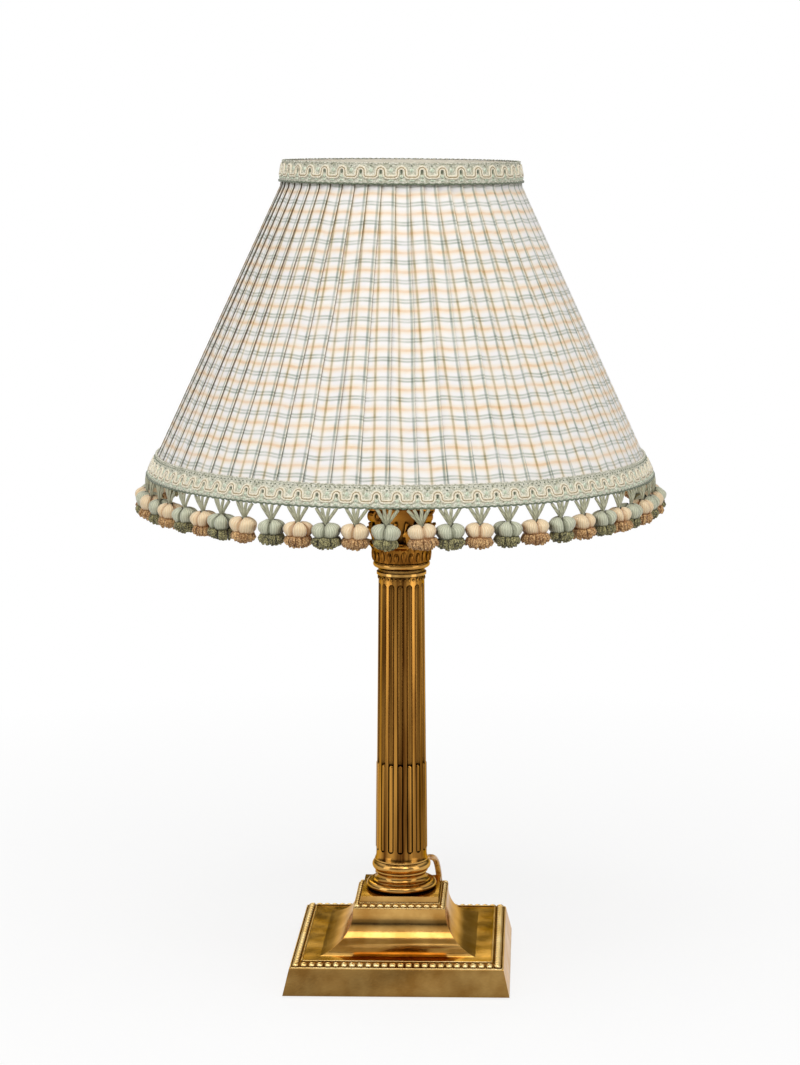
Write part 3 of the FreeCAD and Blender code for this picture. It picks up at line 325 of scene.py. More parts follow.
def check_finish():
    """Cream cotton check: soft peach bands, thin grey-green pairs, olive lines, plain weave, and painted
    shade in the pleats' folds.
    """
    f = Finish("check_cloth")
    parts = f.cloth_place()
    across = f.sum("MULTIPLY", parts[0], CLOTH_UNIT)
    up = f.sum("MULTIPLY", parts[1], CLOTH_UNIT)
    drift = f.sum("MULTIPLY", f.sum("SUBTRACT", f.noise(45, 2), 0.5), 0.4)
    up = f.sum("ADD", up, drift)

    def line(value, at, width):
        """1 on a line, falling to 0 at its width."""
        away = f.sum("ABSOLUTE", f.sum("SUBTRACT", value, at))
        return f.node("MapRange", {0: away, 1: width * 0.15, 2: width, 3: 1.0, 4: 0.0},
                      interpolation_type="SMOOTHERSTEP").outputs[0]

    repeat = f.sum("FLOORED_MODULO", f.sum("SUBTRACT", up, 11.0 - PEACH_AT), CHECK_HIGH)
    colour = f.mix(f.noise(70, 4), rgb(253, 249, 240), rgb(243, 240, 243))
    worn = f.span(f.noise(110, 3), 0.3, 0.7, 0.55, 1.1)
    level = ((PEACH_AT, 3.4, 0.6, rgb(253, 233, 200)), (PEACH_AT, 1.3, 0.45, rgb(236, 200, 144)),
             (PAIR_AT, 1.0, 0.6, PAIR_TINT), (CHECK_HIGH - PAIR_AT, 1.0, 0.6, PAIR_TINT))
    upright = ((1.3, 1.15, 0.7, UPRIGHT_TINT), (15.7, 1.15, 0.7, UPRIGHT_TINT),
               (8.5, 1.15, 0.7, rgb(170, 158, 104)), (8.5, 3.0, 0.35, rgb(252, 232, 196)),
               (0.2, 1.4, 0.3, rgb(236, 234, 196)))
    for value, lines in ((repeat, level), (across, upright)):
        for at, width, strength, tint in lines:
            share = f.sum("MULTIPLY", line(value, at, width), f.sum("MULTIPLY", worn, strength))
            colour = f.mix(share, colour, tint, "MULTIPLY")
    # Painted shade in the folds: the colour darkens where the cloth lies close over itself.
    fold_shade = f.hollows(0.0016)
    shaded = f.mix(1.0, colour, rgb(182, 168, 148), "MULTIPLY")
    colour = f.mix(f.span(fold_shade, 0.3, 0.78), shaded, colour)
    weave = f.sum("MULTIPLY", f.sum("SINE", f.sum("MULTIPLY", across, 14)),
                  f.sum("SINE", f.sum("MULTIPLY", up, 14)))
    return f.set(Base_Color=colour, Roughness=0.85, Sheen_Weight=0.15, Normal=f.bump(weave, 0.25, 0.00008))


def braid_finish():
    """Woven pale sage ground of the trimming: small light loops over darker thread."""
    f = Finish("trimming")
    loops = f.node("TexVoronoi", {"Vector": f.place, "Scale": 900.0}).outputs["Distance"]
    clouds = f.sum("ADD", f.sum("MULTIPLY", f.noise(300, 3), 0.8), 0.45)
    tone = f.sum("ADD", f.sum("MULTIPLY", loops, -0.9), clouds)
    return f.set(Base_Color=f.mix(tone, rgb(172, 172, 146), rgb(254, 252, 240)), Roughness=0.8,
                 Sheen_Weight=0.2, Normal=f.bump(f.sum("MULTIPLY", loops, -1.0), 0.8, 0.0004))


SILK_RIBS = 34


def silk_finish(name, low, mid, high):
    """Silk floss laid side by side down a tassel: fine ribs along its length, and painted shade in its
    creases.
    """
    f = Finish(name)
    parts = f.cloth_place()
    ribs = f.sum("SINE", f.sum("MULTIPLY", parts[0], TURN * SILK_RIBS))
    stretched = f.node("CombineXYZ", {0: f.sum("MULTIPLY", parts[0], 40), 1: parts[1]}).outputs[0]
    strand = f.noise(3.0, 3, stretched)
    tone = f.sum("ADD", f.sum("MULTIPLY", f.span(ribs, -1, 1), 0.35), f.sum("MULTIPLY", strand, 0.65))
    # Painted shade: creases and hollows darken towards the first colour.
    colour = f.mix(f.span(f.hollows(0.006), 0.38, 0.9), low, f.mix(tone, mid, high))
    return f.set(Base_Color=colour, Roughness=0.42, Sheen_Weight=0.4, Sheen_Roughness=0.3,
                 Normal=f.bump(ribs, 0.5, 0.00025))


def cut_finish(name, low, high):
    """Cut ends of the floss: light stipples over a dark tuft, the dark partly painted shade under the knot,
    and painted shade in its hollows.
    """
    f = Finish(name)
    stipple = f.sum("ADD", f.sum("MULTIPLY", f.noise(1500, 2), 0.7), f.sum("MULTIPLY", f.noise(260, 3), 0.3))
    ends = f.mix(f.span(stipple, 0.42, 0.62), low, high)
    # Painted shade: the tuft's hollows darken to the dark colour.
    colour = f.mix(f.span(f.hollows(0.004), 0.1, 0.7), low, ends)
    return f.set(Base_Color=colour, Roughness=0.7, Sheen_Weight=0.2, Normal=f.bump(stipple, 0.6, 0.0004))


CHECK = check_finish()
LINING = plain("lining", rgb(238, 232, 216), rgb(248, 244, 232), 0.8, grain=1500, strength=0.3)
SAGE = braid_finish()
CREAM = thread_finish("scroll_cord", rgb(242, 224, 184), rgb(255, 252, 238), 3)
# Thin brown line in the gap between the scroll's two pale cords: painted shade.
SCROLL_GAP_SHADE = thread_finish("scroll_gap_shade", rgb(120, 98, 50), rgb(190, 164, 108), 3)
EDGE = thread_finish("edge_cord", rgb(44, 54, 38), rgb(134, 146, 118), 3)
MINT = thread_finish("mint_knot", rgb(170, 186, 158), rgb(236, 243, 224), 3)
FLOSS = thread_finish("floss", rgb(94, 98, 62), rgb(220, 218, 186), 4, rough=0.45)
# Each silk's first colour is its painted shade in the creases.
GREEN = silk_finish("tassel_green", rgb(62, 62, 34), rgb(146, 152, 124), rgb(238, 238, 212))
PEACH = silk_finish("tassel_peach", rgb(156, 98, 40), rgb(230, 190, 136), rgb(255, 242, 210))
# The cuts' dark colours are partly painted shade under the knots.
GREEN_CUT_SHADED = cut_finish("cut_green_shaded", rgb(42, 38, 10), rgb(186, 178, 122))
PEACH_CUT_SHADED = cut_finish("cut_peach_shaded", rgb(124, 76, 24), rgb(236, 194, 134))
FLEX = flex_finish()
GLASS = bulb_finish()

for finish, names in (
        (BRASS, "base_casting column_foot shaft_collar top_cap"),
        (BRASS_DRAWN_SHADED, "fluted_shaft"),
        (BRASS_UNDER_SHADE, "capital"),
        (BRASS_PALE_AND_GLINT, "lock_nut lampholder_cap lampholder_body terminal_screws contact_plungers"
                       " lampholder_skirt shade_ring cord_bush plug_pins"),
        (STEEL, "threaded_rod rod_washer rod_nut plunger_springs bulb_contacts"),
        (IRON, "base_weight"), (BOARD, "backing_board"), (INSULATOR, "terminal_block switch_bar"),
        (ALUMINIUM, "bulb_cap"), (GLASS, "bulb_glass bulb_stem"), (PLUG, "plug_body plug_grip"),
        (FLEX, "inner_cord"),
        (WHITE_WIRE, "fitter_ring fitter_arms frame_bottom_ring frame_top_ring frame_struts")):
    for name in names.split():
        nodes[name].data.materials.clear()
        nodes[name].data.materials.append(finish)


# ---- cord ---------------------------------------------------------------------------------------

CORD_R = 1.9
CORD_FLOOR = 2.0        # height of the cord's middle where it lies on the floor
BUSH_OUT = 19.2         # the bush's end, from the column's middle
BUSH_ANGLE = math.radians(50.6)
BUSH_Z = 62.7
COIL_X = -5.5
COIL_Y = 97.0
COIL_MID_R = 21.0
COIL_PITCH = 4.35       # between turns that lie side by side
COIL_LIFT = 4.3         # between layers
COIL_LAYERS = 4
LAYER_TURNS = 2.5
RISE_TURN = 0.5         # share of a turn in which the cord climbs to the next layer
EXIT_TURN = 1 / 6       # by which the last layer runs on
COIL_OUT = COIL_MID_R + LAYER_TURNS * COIL_PITCH / 2
COIL_LEAD = 2 * CORD_R  # straight stretch at each end of the coil
COIL_STEPS = 16         # points to a turn
SPLINE_REACH = 1.0195   # a spline of so many points to a turn runs inside them by this much
PLUG_AT = Vector((-10.3, 175.0, 0))
GRIP_L = 22.0           # strain relief before the plug
GRIP_Z = 6.85
BUSH_RUN = 8.0          # straight stretches: out of the bush,
RUN_IN = 6.8            # before the coil,
RUN_OUT = 6.6           # after it,
GRIP_RUN = 7.2          # and before the plug
# bends of the lead and the tail
LEAD_WAY = ((20.4, 29.4, 58.4), (21.8, 36.4, 48.0), (22.5, 42.4, 35.4), (22.8, 49.6, 26.2),
            (22.6, 59.0, 22.9), (22.1, 67.4, 17.4), (21.5, 74.4, 9.3), (21.1, 80.4, 4.1))
TAIL_WAY = ((-6.0, 130.6, 11.6), (-9.6, 137.6, 7.9))


def coil_point(turns, reach=SPLINE_REACH):
    """The coil after so many turns: its layers wind in and out in turn, and climb where they meet."""
    layer = min(int(turns / LAYER_TURNS), COIL_LAYERS - 1)
    inside = turns - layer * LAYER_TURNS
    radius = COIL_OUT - COIL_PITCH * (inside if layer % 2 == 0 else LAYER_TURNS - inside)
    nearest = min(max(round(turns / LAYER_TURNS), 1), COIL_LAYERS - 1)
    phase = (turns - nearest * LAYER_TURNS + RISE_TURN / 2) / RISE_TURN
    phase = min(max(phase, 0.0), 1.0)
    lift = COIL_LIFT * (nearest - 1 + (1 - math.cos(math.pi * phase)) / 2)
    return polar(radius * reach, TURN * turns, lift) + Vector((COIL_X, COIL_Y, CORD_FLOOR))


def cord_points():
    """Control points of the lead down from the bush, the coil, and the tail to the plug."""
    total = LAYER_TURNS * COIL_LAYERS + EXIT_TURN
    turned = TURN * total
    out_r = COIL_OUT + COIL_PITCH * EXIT_TURN
    back = Vector((0, 1, 0))
    way = Vector((COIL_PITCH * math.cos(turned) - TURN * out_r * math.sin(turned),
                  COIL_PITCH * math.sin(turned) + TURN * out_r * math.cos(turned), 0)).normalized()
    start = coil_point(0, 1.0) - back * COIL_LEAD
    end = coil_point(total, 1.0) + way * COIL_LEAD
    grip = PLUG_AT + Vector((0, -GRIP_L, GRIP_Z))
    lead = [polar(BUSH_OUT, BUSH_ANGLE, BUSH_Z), polar(BUSH_OUT + BUSH_RUN, BUSH_ANGLE, BUSH_Z)]
    lead += [Vector(point) for point in LEAD_WAY] + [start - back * RUN_IN, start]
    steps = round(total * COIL_STEPS)
    coil = [coil_point(total * i / steps) for i in range(steps + 1)]
    tail = [end, end + way * RUN_OUT] + [Vector(point) for point in TAIL_WAY]
    return lead, coil, tail + [grip - back * GRIP_RUN, grip]


def make_flex():
    """Round flex along the control points, ending in the fixed plug."""
    lead, coil, tail = cord_points()
    points = lead + coil + tail
    curve = bpy.data.curves.new("flex", "CURVE")
    curve.dimensions = "3D"
    curve.bevel_depth = CORD_R * MM
    curve.bevel_resolution = 4
    curve.use_fill_caps = True
    spline = curve.splines.new("NURBS")
    spline.points.add(len(points) - 1)
    for control, point in zip(spline.points, points):
        control.co = (*(point * MM), 1.0)
    spline.order_u = 3
    spline.use_endpoint_u = True
    spline.resolution_u = 6
    curve.materials.append(FLEX)
    flex = bpy.data.objects.new("flex", curve)
    scene.collection.objects.link(flex)
    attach(flex, "stand")
    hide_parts("cord_lead", "cord_coil", "cord_tail")


make_flex()


# ---- shade cloth --------------------------------------------------------------------------------

RIM_Z = 309.7
TOP_Z = 496.5
BAND_Z = 481.5          # above it the cloth stands steeper
RIM_R = 152.2
SLOPE = 0.4651
BAND_SLOPE = 0.18
PLEATS = 56
STEP_LOW = 0.7          # depth of a pleat's fold at the rim
STEP_TOP = 1.05         # and at the top
BACK_SHARE = 1.2 / 152.2    # the fixed cover's pleats, as a share of the radius
BACK_T = 1.1                # and its thickness under them
WIRE_R = 1.3                # of the frame
CLOTH_PER_PLEAT = 20.0  # width of cloth in one pleat, with its two hidden layers
CLOTH_HEM = 0.3         # cloth ends this far inside the trimming's edges
CLOTH_ROWS = 46         # below the steep part
PANEL_POINTS = 8        # across a pleat's face
FREE_FROM = 10          # height over the rim where the pressed folds start to wander
FREE_OVER = 160         # and the height through which they do


def cloth_r(z):
    if z <= BAND_Z:
        return RIM_R - (z - RIM_Z) * SLOPE
    return RIM_R - (BAND_Z - RIM_Z) * SLOPE - (z - BAND_Z) * BAND_SLOPE


def fold_step(z):
    return STEP_LOW + (z - RIM_Z) / (TOP_Z - RIM_Z) * (STEP_TOP - STEP_LOW)


def cloth_heights():
    low = RIM_Z + CLOTH_HEM
    rows = [low + (BAND_Z - low) * j / CLOTH_ROWS for j in range(CLOTH_ROWS)]
    return rows + [BAND_Z, BAND_Z + 5, BAND_Z + 10, TOP_Z - CLOTH_HEM]


def pleat_section(wide, drop, under, pitch):
    """One pleat as (along, depth): its rounded edge, its face, and the two layers under the next."""
    section = [(-0.12, 0.22), (-0.04, 0.05)]
    for i in range(PANEL_POINTS):
        share = i / (PANEL_POINTS - 1)
        section.append((wide * share + 0.05, drop * share - 0.22 * math.sin(math.pi * share)))
    back = under * 0.55
    section += [(wide + under * 0.5, drop + 0.12), (wide + under, drop + 0.2),
                (wide + under + 0.08, drop + 0.08),
                (wide + back, (drop + drop * back / pitch) / 2 + 0.05)]
    return section


def shade_cloth():
    """Knife pleats: each panel runs left and in, under the next fold, and back to that fold's edge."""
    dice = random.Random(11)
    waves = [(dice.uniform(0.1, 0.45), dice.uniform(0, TURN), dice.uniform(70, 150),
              dice.uniform(-0.5, 0.5), dice.uniform(0.0, 0.7) ** 1.5, dice.uniform(-0.4, 0.4))
             for _ in range(PLEATS)]

    def wander(wave, z, free):
        """How far this pleat's edge has strayed along the shade."""
        size, phase, length, lean = wave[:4]
        return free * (size * math.sin(TURN * z / length + phase) + lean)

    shape = Shape()
    rows = []
    uvs = []
    for z in cloth_heights():
        radius = cloth_r(z)
        pitch = TURN * radius / PLEATS
        under = (CLOTH_PER_PLEAT - pitch) / 2
        rise = (z - RIM_Z) * math.sqrt(1 + SLOPE ** 2)
        free = math.sin(math.pi * min(max((z - RIM_Z - FREE_FROM) / FREE_OVER, 0), 1))
        row = []
        marks = []
        for k in range(PLEATS + 1):
            wave = waves[k % PLEATS]
            phase, lift, shift = wave[1], wave[4], wave[5]
            strayed = wander(wave, z, free)
            wide = pitch + wander(waves[(k + 1) % PLEATS], z, free) - strayed
            section = pleat_section(wide, fold_step(z), under, pitch)
            if k == PLEATS:
                section = section[:1]
            for along, depth in section:
                out = radius - depth
                if along < wide * 0.5:
                    out += free * lift * (1 - along / (wide * 0.5))
                angle = -TURN * k / PLEATS - math.pi / 2 - (strayed + along) / radius
                row.append(polar(out, angle, z))
                marks.append(((along + shift * 0.3) / CLOTH_UNIT,
                              (rise + shift + 0.4 * math.sin(along * 0.3 + phase)) / CLOTH_UNIT))
        rows.append(row[::-1])
        uvs.append(marks[::-1])
    shape.grid(rows, uvs)
    cloth = shape.piece("shade_cloth", [CHECK], "shade")
    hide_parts("shade_cover")
    return cloth


# ---- braid --------------------------------------------------------------------------------------

GROUND, PALE_CORD, DARK, PALE_KNOT, GAP_SHADE_MARK = range(5)
ARCH_R = 2.3            # half width of an arch of the scroll, and its radius
CORNER_R = 1.7          # of the scroll's lower corners
BRAID_LOW_H = 12.4
BRAID_TOP_H = 12.0
BAND_OUT = 0.2          # the band's ground over the cloth
BAND_PROFILE = ((0.0, 0.0), (0.01, 0.5), (0.06, 0.95), (0.14, 0.62), (0.5, 0.62), (0.86, 0.62),
                (0.94, 0.9), (0.99, 0.5), (1.0, 0.0))       # share of the height, and how proud
BAND_STEPS = 12         # across one arch
EDGE_STEPS = 14
# The third, thin brown line lies in the gap between the two pale cords as painted shade.
SCROLL_CORDS = ((-0.66, 0.63, 1.05, PALE_CORD), (0.66, 0.63, 1.05, PALE_CORD),
                (0.0, 0.3, 1.3, GAP_SHADE_MARK))     # to the side, radius, how proud, material
EDGE_CORDS = ((0.02, 0.55, DARK), (0.985, 0.42, GROUND))    # share of the height, radius, material
KNOT_OUT = 0.65


def scroll_period(pitch, tall):
    """A scroll of half height tall over one arch and trough: along, up, and the way across it."""
    run = pitch - 2 * ARCH_R - 2 * CORNER_R
    points = []

    def bend(x, y, radius, turn, way):
        points.append((x + radius * math.cos(turn), y + radius * math.sin(turn),
                       way * math.cos(turn), way * math.sin(turn)))

    for i in range(9):
        bend(0.0, tall - ARCH_R, ARCH_R, math.pi * (1 - i / 8), 1)
    for i in range(1, 6):
        bend(ARCH_R + CORNER_R, CORNER_R - tall, CORNER_R, math.pi * (1 + i / 10), -1)
    for i in range(1, 3):
        points.append((ARCH_R + CORNER_R + run * i / 3, -tall, 0.0, 1.0))
    for i in range(5):
        bend(pitch - ARCH_R - CORNER_R, CORNER_R - tall, CORNER_R, math.pi * (1.5 + i / 10), -1)
    return points


def braid_knots(tall):
    """Knots over one arch: share of the arch, height over the scroll's middle, half sizes, material."""
    knots = [(0.0, 0.3, (0.6, 0.5, 1.3), DARK),
             (0.0, -tall + 0.3, (1.2, 0.8, 1.0), PALE_KNOT),
             (0.5, 1.1, (1.3, 0.6, 1.3), PALE_KNOT),
             (0.5, -tall - 1.9, (1.9, 0.7, 0.7), PALE_KNOT),
             (0.0, -tall - 1.9, (1.3, 0.7, 0.7), PALE_KNOT),
             (0.5, tall + 1.0, (0.55, 0.5, 0.4), DARK)]
    return knots + [(share, tall + 2.4, (0.5, 0.6, 0.35), DARK) for share in (0.12, 0.37, 0.62, 0.87)]


def braid(name, node, low, height, arches, shift, middle, tall):
    """Woven band with a scroll of two pale cords, knots in its arches, and fine cords at its edges.

    Middle is the scroll's height as a share of the band's, and shift turns it, in arches.
    """
    def on_band(angle, share, proud):
        z = low + share * height
        return polar(cloth_r(z) + BAND_OUT + proud, angle, z)

    def outward(angle):
        return Vector((math.cos(angle), math.sin(angle), SLOPE * 0.6)).normalized()

    def arch_angle(k, along):
        """Angle of arch k, and a share of an arch beyond it."""
        return TURN * (k + shift + along) / arches - math.pi / 2

    shape = Shape()
    around = arches * BAND_STEPS
    rows = []
    uvs = []
    for share, proud in BAND_PROFILE:
        row = []
        for i in range(around + 1):
            jitter = noise.noise(Vector((i * 0.37, share * 9.0, arches))) * 0.16
            row.append(on_band(TURN * i / around, share, proud + (jitter if 0 < share < 1 else 0)))
        rows.append(row)
        uvs.append([(i / BAND_STEPS, share * 6) for i in range(around + 1)])
    shape.grid(rows, uvs, GROUND)

    pitch = TURN * cloth_r(low) / arches
    scroll = scroll_period(pitch, tall)
    for side, thick, proud, mark in SCROLL_CORDS:
        path = []
        normals = []
        for k in range(arches):
            sag = 0.25 * noise.noise(Vector((k * 0.7, arches, 3)))
            for x, y, nx, ny in scroll:
                angle = arch_angle(k, (x + nx * side) / pitch)
                path.append(on_band(angle, middle + (y + ny * side + sag) / height, proud))
                normals.append(outward(angle))
        shape.tube(path, normals, thick, 6, mark, closed=True)
    for k in range(arches):
        for along, y, sizes, mark in braid_knots(tall):
            angle = arch_angle(k, along)
            out = outward(angle)
            way = sideways(angle)
            place = on_band(angle, middle + y / height, KNOT_OUT)
            shape.blob(place, (way, out, out.cross(way)), sizes, mark)
    for share, thick, mark in EDGE_CORDS:
        count = arches * EDGE_STEPS
        angles = [TURN * i / count for i in range(count)]
        path = [on_band(a, share + 0.02 * math.sin(i * 1.3), 0.85) for i, a in enumerate(angles)]
        shape.tube(path, [outward(a) for a in angles], thick, 5, mark, closed=True)
    made = shape.piece(name, [SAGE, CREAM, EDGE, MINT, SCROLL_GAP_SHADE], "shade")
    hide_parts(node)
    return made


# ---- tassels ------------------------------------------------------------------------------------

CUT, SILK, STRANDS = range(3)
FLOSS_FEET = ((-5.9, 0.0), (-2.3, 0.6), (1.4, 0.5), (5.9, 0.0))     # along the rim, and out from it
FLOSS_H = 9.6
KNOT_TOP = 8.6          # below the rim
KNOT_H = 10.4
KNOT_R = 8.5
KNOT_SIDES = 52
KNOT_ROWS = 14
FLATNESS = 0.92         # depth of a tassel, as a share of its width
TUFT_TOP = 7.4          # the tuft starts this far and the knot's height below the rim
TUFT_RINGS = ((30, 1.0, 0.0), (22, 0.76, 1.3), (12, 0.42, 2.0))     # ends, share of the spread, drop


def flosses(shape, at, out, dice, sway):
    """Four flat strands that run together from the rim."""
    for foot, y in FLOSS_FEET:
        foot += dice.uniform(-0.5, 0.5)
        path = []
        for i in range(6):
            t = i / 5
            path.append(at(foot * (1 - t) ** 1.1 + sway * t, y + 0.4 * math.sin(math.pi * t), -FLOSS_H * t))
        widths = [1.15 - 0.35 * abs(i - 1.5) / 3.5 for i in range(6)]
        shape.tube(path, [out] * 6, widths, 6, STRANDS, flat=0.5)


def silk_knot(shape, at, dice, sway, size):
    """Lobed knot of silk, creased between its lobes."""
    lobes = dice.choice((2, 3, 3, 4))
    facing = math.pi / 2 + dice.uniform(-0.3, 0.3)
    rows = []
    uvs = []
    for j in range(KNOT_ROWS):
        t = j / (KNOT_ROWS - 1)
        belly = math.sin(math.pi * (0.05 + 0.85 * t ** 0.8))
        z = -KNOT_TOP - KNOT_H * t
        row = []
        for i in range(KNOT_SIDES + 1):
            turn = TURN * i / KNOT_SIDES
            crease = 1 - abs(math.sin(lobes * (turn - facing) / 2))
            pinch = 1 - 0.62 * crease ** 2.6 * math.sin(math.pi * min(1, 0.3 + t * 0.55))
            radius = 1.0 + (KNOT_R * size - 1.0) * belly * pinch
            dip = (1.8 * crease ** 2 - 1.7 * (1 - crease) * belly) * (1 - t)
            row.append(at(sway + radius * math.cos(turn), FLATNESS * radius * math.sin(turn), z - dip))
        rows.append(row)
        uvs.append([(i / KNOT_SIDES, t) for i in range(KNOT_SIDES + 1)])
    shape.grid(rows, uvs, SILK)


def cut_tuft(shape, at, along, out, dice, sway):
    """Squat tuft of cut ends under the knot, with a stray thread on some."""
    base = -TUFT_TOP - KNOT_H
    spread = dice.uniform(6.2, 7.8)
    for count, share, drop in TUFT_RINGS:
        for k in range(count):
            turn = TURN * k / count + dice.uniform(-0.1, 0.1)
            flare = spread * share * dice.uniform(0.9, 1.06)
            low = -dice.uniform(2.3, 3.6) - drop
            x = flare * math.cos(turn)
            y = FLATNESS * flare * math.sin(turn)
            path = [at(sway + x * reach, y * reach, base + z)
                    for reach, z in ((0.5, 1.2), (0.9, 0.4), (1.03, low * 0.5), (0.94, low))]
            way = (along * math.cos(turn) + out * math.sin(turn)).normalized()
            shape.tube(path, [way] * 4, [0.8, 1.0, 1.05, 0.75], 5, CUT, wrap=0.08)
    for _ in range(dice.choice((0, 0, 1, 2))):
        turn = dice.uniform(0, TURN)
        x = 3 * math.cos(turn)
        y = 3 * math.sin(turn)
        path = [at(sway + x * (1 + 0.1 * i), y, base - 3.5 - 0.75 * i + 0.1 * i * i) for i in range(4)]
        shape.tube(path, [out] * 4, 0.16, 4, CUT)


def tassel(shape, angle, dice):
    """One tassel under the rim, hanging a little askew."""
    out = polar(1, angle, 0)
    along = sideways(angle)
    top = polar(RIM_R + 0.4, angle, RIM_Z - 0.2)
    tilt = (Matrix.Rotation(dice.uniform(-0.09, 0.09), 3, out)
            @ Matrix.Rotation(dice.uniform(-0.06, 0.06), 3, along))
    size = dice.uniform(0.95, 1.03)
    sway = dice.uniform(-0.8, 0.8)

    def at(x, y, z):
        return top + tilt @ (along * x + out * y + UP * z)

    flosses(shape, at, out, dice, sway)
    silk_knot(shape, at, dice, sway, size)
    cut_tuft(shape, at, along, out, dice, sway)


def fringe(name, node, first, silk_material, cut_material, seed):
    """Every second tassel round the rim, one at each pleat's place."""
    dice = random.Random(seed)
    shape = Shape()
    for k in range(PLEATS // 2):
        tassel(shape, -math.pi / 2 + TURN * (2 * k + first) / PLEATS, dice)
    made = shape.piece(name, [cut_material, silk_material, FLOSS], "shade")
    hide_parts(node)
    return made


# ---- lining, felt -------------------------------------------------------------------------------

ARM_LOW_Z = 312.5       # height of the fitter's arms at the frame's lower ring
ARM_ANGLES = (90, 210, 330)
SLIT_HALF_ANGLE = 1.5   # degrees
SLIT_HALF_H = 5
LINING_SIDES = 336
LINING_ROWS = 26
LINING_HEM = 0.4
LINING_GAP = 0.9        # inside the wires

FELT_HALF = 63.0
FELT_CORNER = 3.0
FELT_T = 1.2
FELT_MIDDLE = 60.0      # both faces stop this far inside the edge and leave a small opening


def lining():
    """Ruched lining inside the wires, open where the three arms pass."""
    shape = Shape()
    low = RIM_Z + LINING_HEM
    heights = [low + (BAND_Z - low) * j / LINING_ROWS for j in range(LINING_ROWS + 1)]
    rows = []
    for z in heights + [TOP_Z - LINING_HEM]:
        inner = cloth_r(z) * (1 - BACK_SHARE) - BACK_T - 2 * WIRE_R * math.hypot(1, SLOPE) - LINING_GAP
        row = []
        for i in range(LINING_SIDES):
            ruche = 0.22 * math.sin(i * 0.9 + 2 * noise.noise(Vector((i * 0.2, z * 0.02, 0))))
            row.append(polar(inner + ruche, TURN * i / LINING_SIDES, z))
        rows.append(row)
    shape.grid(rows, None, ring=True)

    def in_slit(face):
        middle = sum((shape.points[i] for i in face), Vector()) / 4
        turn = math.degrees(math.atan2(middle.y, middle.x))
        near = min(abs((turn - arm + 180) % 360 - 180) for arm in ARM_ANGLES)
        return near < SLIT_HALF_ANGLE and abs(middle.z - ARM_LOW_Z) < SLIT_HALF_H

    shape.faces = [face for face in shape.faces if not in_slit(face)]
    shape.marks = [0] * len(shape.faces)
    made = shape.piece("shade_lining_cloth", [LINING], "shade")
    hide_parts("shade_lining")


def felt():
    """Felt sheet glued under the board, its edge slightly furred."""
    shape = Shape()
    ring = []
    for k in range(4):
        turn = TURN * k / 4
        inset = FELT_HALF - FELT_CORNER
        centre = Matrix.Rotation(turn, 3, "Z") @ Vector((inset, inset, 0))
        ring += [centre + polar(FELT_CORNER, turn + math.pi / 2 * i / 5, 0) for i in range(6)]
        start = ring[-1]
        end = Matrix.Rotation(turn + math.pi / 2, 3, "Z") @ Vector((FELT_HALF, inset, 0))
        ring += [start.lerp(end, i / 24) for i in range(1, 24)]
    rows = []
    for z, shrink in ((0.0, FELT_MIDDLE), (0.0, 0.25), (0.3, 0.0), (0.9, 0.05), (FELT_T, 0.3),
                      (FELT_T, FELT_MIDDLE)):
        row = []
        for point in ring:
            fur = 0.1 * noise.noise(point * 0.9) if 0 < z < FELT_T else 0
            row.append(point * (1 - shrink / FELT_HALF) + Vector((fur, fur, z)))
        rows.append(row)
    shape.grid(rows, None, ring=True)
    made = shape.piece("felt_sheet", [FELT], "stand")
    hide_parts("felt_pad")


# ---- beads and fillets --------------------------------------------------------------------------

BEAD_ROWS = 7
BEAD_SIDES = 12
# half side, height and radius of each
FILLETS = ((63.9, 17.0, 0.4), (57.45, 19.45, 0.32), (27.8, 43.3, 0.36), (24.4, 45.65, 0.32))


def beads(name, half, z, slope, pitch, sizes):
    """Row of beads along a square, sloping border, in the paler brass as a painted highlight."""
    shape = Shape()
    dice = random.Random(3)
    gaps = round(2 * half / pitch)
    lean = Matrix.Rotation(math.atan(slope), 3, "X")
    long, wide, tall = sizes
    for side in range(4):
        turned = Matrix.Rotation(TURN * side / 4, 3, "Z")
        for i in range(gaps):
            centre = Vector((-half + 2 * half * i / gaps, -half, z))
            scale = dice.uniform(0.92, 1.06)
            rows = []
            for j in range(BEAD_ROWS):
                up = math.pi * (0.02 + 0.96 * j / (BEAD_ROWS - 1))
                rows.append([turned @ (centre + lean @ Vector((
                    long * scale * math.sin(up) * math.cos(TURN * k / BEAD_SIDES),
                    wide * math.sin(up) * math.sin(TURN * k / BEAD_SIDES),
                    -tall * math.cos(up)))) for k in range(BEAD_SIDES)])
            shape.grid(rows, None, ring=True)
    shape.piece(name, [BRASS_PALE_AND_GLINT], "stand")


def fillets():
    """Thin lines of metal along the edges of the slab and the table, in the paler brass as a painted
    highlight.
    """
    shape = Shape()
    for half, z, thick in FILLETS:
        ring = []
        for k in range(4):
            turned = Matrix.Rotation(TURN * k / 4, 3, "Z")
            ring += [turned @ Vector((x * half, -half, z))
                     for x in (-0.985, -0.9, -0.5, 0.0, 0.5, 0.9, 0.985)]
        shape.tube(ring, [UP] * len(ring), thick, 6, closed=True)
    shape.piece("fillets", [BRASS_PALE_AND_GLINT], "stand")


# ---- carving ------------------------------------------------------------------------------------

BELL_Z = 255.4
BELL_R = 15.4
COLLAR_Z = 247.0
LEAF_ROWS = 15
LEAF_COLUMNS = 19
LEAF_TURN = 0.8         # share of a leaf's height where its tip curls over
STALKS = 16
TONGUES = 24
DROPS = 32
DROP_R = 14.1


